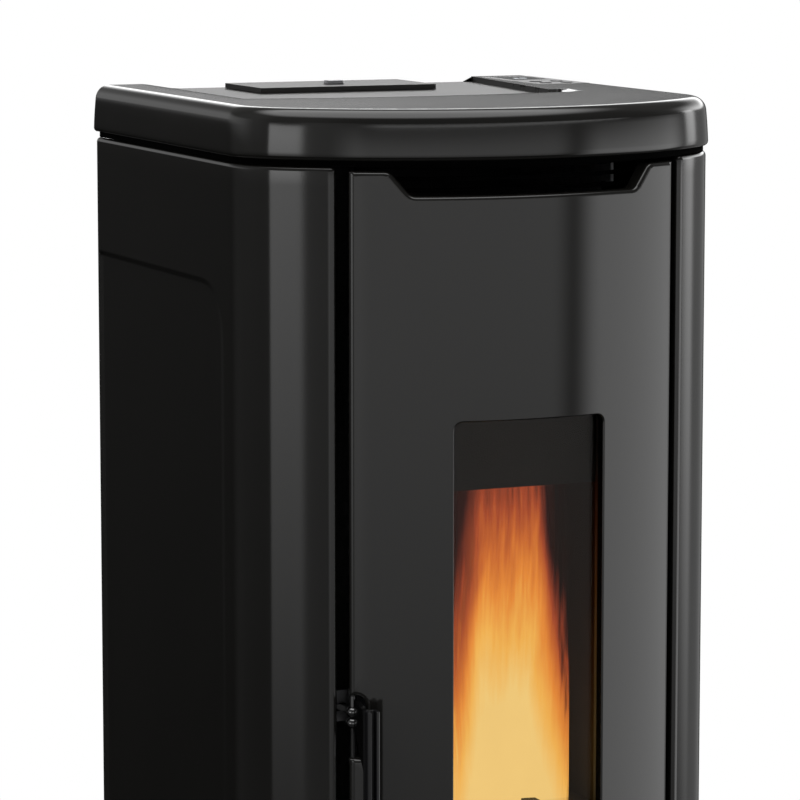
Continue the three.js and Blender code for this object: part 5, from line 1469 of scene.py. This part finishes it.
class StoveFrameParts(bpy.types.Operator):
    """Gives the frame's own pieces their finishes and soft edges"""

    bl_idname = "stove.frame_parts"
    bl_label = "Frame parts"

    def execute(self, context):
        for material, edge, names in CARRIED:
            made = material()
            for node in (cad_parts[name] for name in names):
                if node.material_slots:
                    for place in node.material_slots:
                        place.material = made
                else:
                    node.data.materials.append(made)
                soften(node, edge)
        return {"FINISHED"}


# ---------------------------------------------------------------- fire


FLAMES = (
    # depth from the burn pot's middle, turn, share of the fire's width
    (0.012, 0.0, 1.0),
    (-0.012, 0.11, 0.94),
    (0.0, -0.15, 0.9),
)
FLAME_FOOT = 0.004          # how far the flames start below the burn pot's rim


class StoveFire(bpy.types.Operator):
    """Lights the fire: embers in the burn pot and sheets of flame above it"""

    bl_idname = "stove.fire"
    bl_label = "Fire"

    def execute(self, context):
        settings = context.scene.stove_fire
        pot_low, pot_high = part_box("brazier")
        middle = (pot_low + pot_high) / 2
        dice = random.Random(settings.seed)
        base = pot_high.z - FLAME_FOOT
        material = flame_material(settings, base)
        for number, (depth, turn, share) in enumerate(FLAMES):
            mesh = mesh_from(
                "flame", lambda bm: flame_sheet(bm, settings, middle, depth, turn, share, base)
            )
            piece_from(mesh, f"flame_{number}", "casing", material, angle=180.0)
        mesh = mesh_from("embers", lambda bm: ember_bed(bm, settings, pot_low, pot_high, dice))
        piece_from(mesh, "embers", "burn_pot", ember_material())
        return {"FINISHED"}


def flame_sheet(bm, settings, middle, depth, turn, share, base):
    """One upright sheet of flame that sways a little in depth."""
    across, up = 26, 34
    sway_depth, waves_up, waves_across = 0.008, 5.0, 2.4
    half = settings.half_width * share
    rows = []
    for k in range(up + 1):
        height = k / up
        row = []
        for i in range(across + 1):
            side = 2 * i / across - 1
            sway = sway_depth * math.sin(waves_up * height + waves_across * side)
            flat = Vector((side * half, depth + sway * (1 - side * side), 0.0))
            spot = Matrix.Rotation(turn, 3, "Z") @ flat
            row.append(bm.verts.new(
                (middle.x + spot.x, middle.y + spot.y, base + height * settings.height)
            ))
        rows.append(row)
    join_rows(bm, rows)


def flame_material(settings, base):
    """Pale at the foot, orange above and dark red at the tips, in rising tongues."""

    def build(tree):
        place = tree.place()
        height = (tree.part(place, 2) - base) / settings.height
        across = tree.part(place, 0) / settings.half_width
        curl = tree.noise(tree.stretched(place, (13.0, 13.0, 4.0)), 1.0, 2.0)
        swayed = across - 0.25 + (curl - 0.5) * 0.5 * height
        reach = 0.76 - height * 0.24
        side = swayed.most(-swayed)
        edge = (reach - side) / reach
        tongues = tree.noise(tree.stretched(place, (70.0, 50.0, 7.0)), 1.0, 4.0, 0.6)
        wisps = tree.noise(tree.stretched(place, (220.0, 110.0, 11.0)), 1.0, 3.0, 0.65)
        ragged = (tongues - 0.5) * 0.6 + (wisps - 0.5) * 0.5
        body = (edge + ragged).step(-0.02, 0.2)
        core = (edge * (height * 1.3 + 1.2)).least(1.0)
        heat = core * 0.72 + 0.69 - height * 1.5 + ragged * (height * 0.8 + 0.2)
        glow = tree.ramp(
            heat,
            [
                (0.0, (0.03, 0.005, 0.003)), (0.15, (0.16, 0.028, 0.013)),
                (0.3, (0.38, 0.07, 0.022)), (0.45, (0.62, 0.16, 0.03)),
                (0.6, (0.84, 0.29, 0.045)), (0.78, (0.94, 0.5, 0.1)),
                (1.0, (0.94, 0.66, 0.23)),
            ],
        )
        density = body * heat.step(-0.1, 0.3, 0.25, 0.9)
        return {
            "Emission Color": glow,
            "Alpha": density.most(0.0).least(1.0),
        }

    return finish(
        "flame",
        build,
        **{"Base Color": (0.0, 0.0, 0.0, 1.0), "Emission Strength": settings.strength,
           "Specular IOR Level": 0.0, "Roughness": 1.0},
    )


def ember_bed(bm, settings, low, high, dice):
    """Short charred pellets heaped in the burn pot."""
    wall_room = 0.018
    floor_room = 0.006
    bed_foot, bed_height = 0.003, 0.016
    pellet_radius, shortest, longest = 0.003, 0.009, 0.015
    slope = 0.3
    for number in range(settings.embers):
        x = dice.uniform(low.x + wall_room, high.x - wall_room)
        y = dice.uniform(low.y + wall_room, high.y - wall_room)
        rise = bed_foot + bed_height * number / settings.embers
        depth = dice.uniform(shortest, longest)
        tilt = Matrix.Rotation(dice.uniform(0, math.pi), 4, "Z") @ Matrix.Rotation(
            math.pi / 2 + dice.uniform(-slope, slope), 4, "X"
        )
        bmesh.ops.create_cone(
            bm, cap_ends=True, segments=8, radius1=pellet_radius, radius2=pellet_radius,
            depth=depth, matrix=Matrix.Translation((x, y, low.z + floor_room + rise)) @ tilt,
        )


def ember_material():
    """Ash-grey pellets, glowing in patches."""

    def build(tree):
        place = tree.place()
        ash = tree.noise(place, 260.0, 3.0)
        glow = tree.noise(place, 90.0, 3.0)
        return {
            "Base Color": tree.between(ash, (0.02, 0.015, 0.012), (0.3, 0.27, 0.24)),
            "Emission Color": tree.ramp(
                glow, [(0.35, (0.15, 0.01, 0.0)), (0.5, (1.0, 0.22, 0.02)),
                       (0.7, (1.0, 0.6, 0.15))]
            ),
            "Roughness": ash * 0.2 + 0.75,
        }

    return finish("glowing_pellets", build, **{"Emission Strength": 1.6})


# ---------------------------------------------------------------- studio


SOFTBOXES = [
    # heading, half width, softness, lower edge, its fade, upper edge and its fade in degrees,
    # and the strength
    (249.5, 11.6, 2.5, -19.0, 28.0, 6.0, 4.0, 3.0),
    (77.5, 2.0, 3.0, -19.0, 28.0, 8.0, 6.0, 3.0),
    (182.0, 34.0, 12.0, -24.0, 20.0, 0.0, 9.0, 0.8),
    (227.0, 8.0, 6.0, -30.0, 24.0, 10.0, 8.0, 0.2),
    (110.0, 17.0, 14.0, -40.0, 30.0, -4.0, 12.0, 1.75),
    (60.0, 12.0, 10.0, -40.0, 30.0, 10.0, 10.0, 0.35),
    (165.0, 42.0, 12.0, 7.0, 1.5, 9.0, 2.5, 1.6),
    (337.0, 30.0, 25.0, 0.0, 4.0, 12.0, 10.0, 0.42),
    (275.0, 36.0, 22.0, -30.0, 30.0, 40.0, 10.0, 0.1),
    (190.0, 95.0, 30.0, -12.0, 12.0, 44.0, 8.0, 0.08),
    (44.0, 24.0, 18.0, 4.5, 6.0, 11.0, 16.0, 2.9),
]


class StoveStudio(bpy.types.Operator):
    """Sets the pale floor, the soft studio light and the camera"""

    bl_idname = "stove.studio"
    bl_label = "Studio"

    def execute(self, context):
        scene = context.scene
        settings = scene.stove_studio
        data = bpy.data.cameras.new("camera")
        data.lens = settings.lens
        data.sensor_width = 36.0
        data.clip_end = 60.0
        camera = bpy.data.objects.new("camera", data)
        scene.collection.objects.link(camera)
        camera.location = (settings.camera_x, settings.camera_y, settings.camera_z)
        aim = Vector((
            math.sin(settings.yaw) * math.cos(settings.pitch),
            math.cos(settings.yaw) * math.cos(settings.pitch),
            -math.sin(settings.pitch),
        ))
        camera.rotation_euler = aim.to_track_quat("-Z", "Y").to_euler()
        scene.camera = camera
        scene.view_settings.view_transform = "Standard"
        self.floor(scene, settings)
        self.surroundings(scene)
        return {"FINISHED"}

    def floor(self, scene, settings):
        """A pale round floor that fades into white, and is dim in what the stove mirrors."""

        def build(bm):
            bmesh.ops.create_circle(
                bm, cap_ends=True, radius=settings.floor_radius, segments=96
            )

        mesh = mesh_from("floor", build)
        floor = bpy.data.objects.new("floor", mesh)
        scene.collection.objects.link(floor)
        made = bpy.data.materials.new("pale_floor")
        tree = Tree(made)
        place = tree.place()
        away = tree.node("ShaderNodeVectorMath", {"operation": "LENGTH"}, {0: place}, 1)
        seen = tree.node("ShaderNodeLightPath")
        fade = away.step(settings.floor_radius * 0.35, settings.floor_radius * 0.95) * seen
        grain = tree.noise(place, 14.0, 4.0)
        pale, dim = (
            tree.node("ShaderNodeBsdfDiffuse", {}, {"Color": tree.between(grain, dark, light)})
            for dark, light in (
                ((0.78, 0.78, 0.77), (0.84, 0.84, 0.83)), ((0.05,) * 3, (0.07,) * 3)
            )
        )
        matt = tree.node("ShaderNodeMixShader", {}, {0: seen, 1: dim, 2: pale})
        white = tree.node("ShaderNodeEmission", {}, {"Color": (1, 1, 1, 1), "Strength": 1.0})
        tree.surface(tree.node("ShaderNodeMixShader", {}, {0: fade, 1: matt, 2: white}))
        mesh.materials.append(made)

    def surroundings(self, scene):
        """White to the camera; to the stove, soft boxes in a dim room."""
        world = bpy.data.worlds.new("studio")
        scene.world = world
        tree = Tree(world)
        way = tree.node("ShaderNodeTexCoord", output=0)
        x, y, z = (tree.part(way, axis) for axis in range(3))
        heading = x.maths("ARCTAN2", x, y) * DEGREES
        rise = z.maths("ARCSINE", z) * DEGREES
        room = rise.step(-16.0, 0.0, 0.01, 0.04)
        ceiling = rise.step(44.0, 62.0, 0.0, 2.8)
        rear_wall = rise.step(0.0, 5.0, 0.0, 0.1) * y.step(-0.2, 0.2)
        light = room + ceiling + rear_wall
        for centre, half, soft, low, fade, high, upper_fade, strength in SOFTBOXES:
            turned = heading - (centre - FULL_TURN - HALF_TURN)
            off = turned.maths("FLOORED_MODULO", turned, FULL_TURN) - HALF_TURN
            across = abs(off).step(half, half + soft, 1.0, 0.0)
            up = rise.step(low, low + fade) * rise.step(high, high + upper_fade, 1.0, 0.0)
            light = light + across * up * strength
        seen = tree.node("ShaderNodeLightPath")
        final = light * (1.0 - seen) + seen
        shade = tree.node("ShaderNodeCombineColor", {}, {0: final, 1: final, 2: final})
        background = tree.node("ShaderNodeBackground", {}, {"Color": shade, "Strength": 1.0})
        tree.node("ShaderNodeOutputWorld", {}, {"Surface": background})


# ---------------------------------------------------------------- sidebar and start


class StovePanel(bpy.types.Panel):
    """Lists the steps that dress the stove"""

    bl_idname = "VIEW3D_PT_stove"
    bl_label = "Pellet stove"
    bl_space_type = "VIEW_3D"
    bl_region_type = "UI"
    bl_category = "Stove"

    def draw(self, context):
        for operator in STEPS:
            self.layout.operator(operator.bl_idname)


GROUPS = {
    "stove_casing": StoveCasingSizes,
    "stove_cover": StoveCoverSizes,
    "stove_door": StoveDoorSizes,
    "stove_latch": StoveLatchSizes,
    "stove_fire": StoveFireSettings,
    "stove_finish": StoveFinishSettings,
    "stove_studio": StoveStudioSettings,
}
STEPS = (
    StoveStudio,
    StoveCover,
    StoveSidePanels,
    StoveDoor,
    StoveLatch,
    StoveMarks,
    StoveFrontPanels,
    StoveFrameParts,
    StoveFire,
)


def register():
    for name, group in GROUPS.items():
        bpy.utils.register_class(group)
        setattr(bpy.types.Scene, name, PointerProperty(type=group))
    for step in STEPS:
        bpy.utils.register_class(step)
    bpy.utils.register_class(StovePanel)


def unregister():
    bpy.utils.unregister_class(StovePanel)
    for step in reversed(STEPS):
        bpy.utils.unregister_class(step)
    for name, group in reversed(GROUPS.items()):
        delattr(bpy.types.Scene, name)
        bpy.utils.unregister_class(group)


def main():
    register()
    for step in STEPS:
        group, name = step.bl_idname.split(".")
        getattr(getattr(bpy.ops, group), name)()


if __name__ == "__main__":
    main()
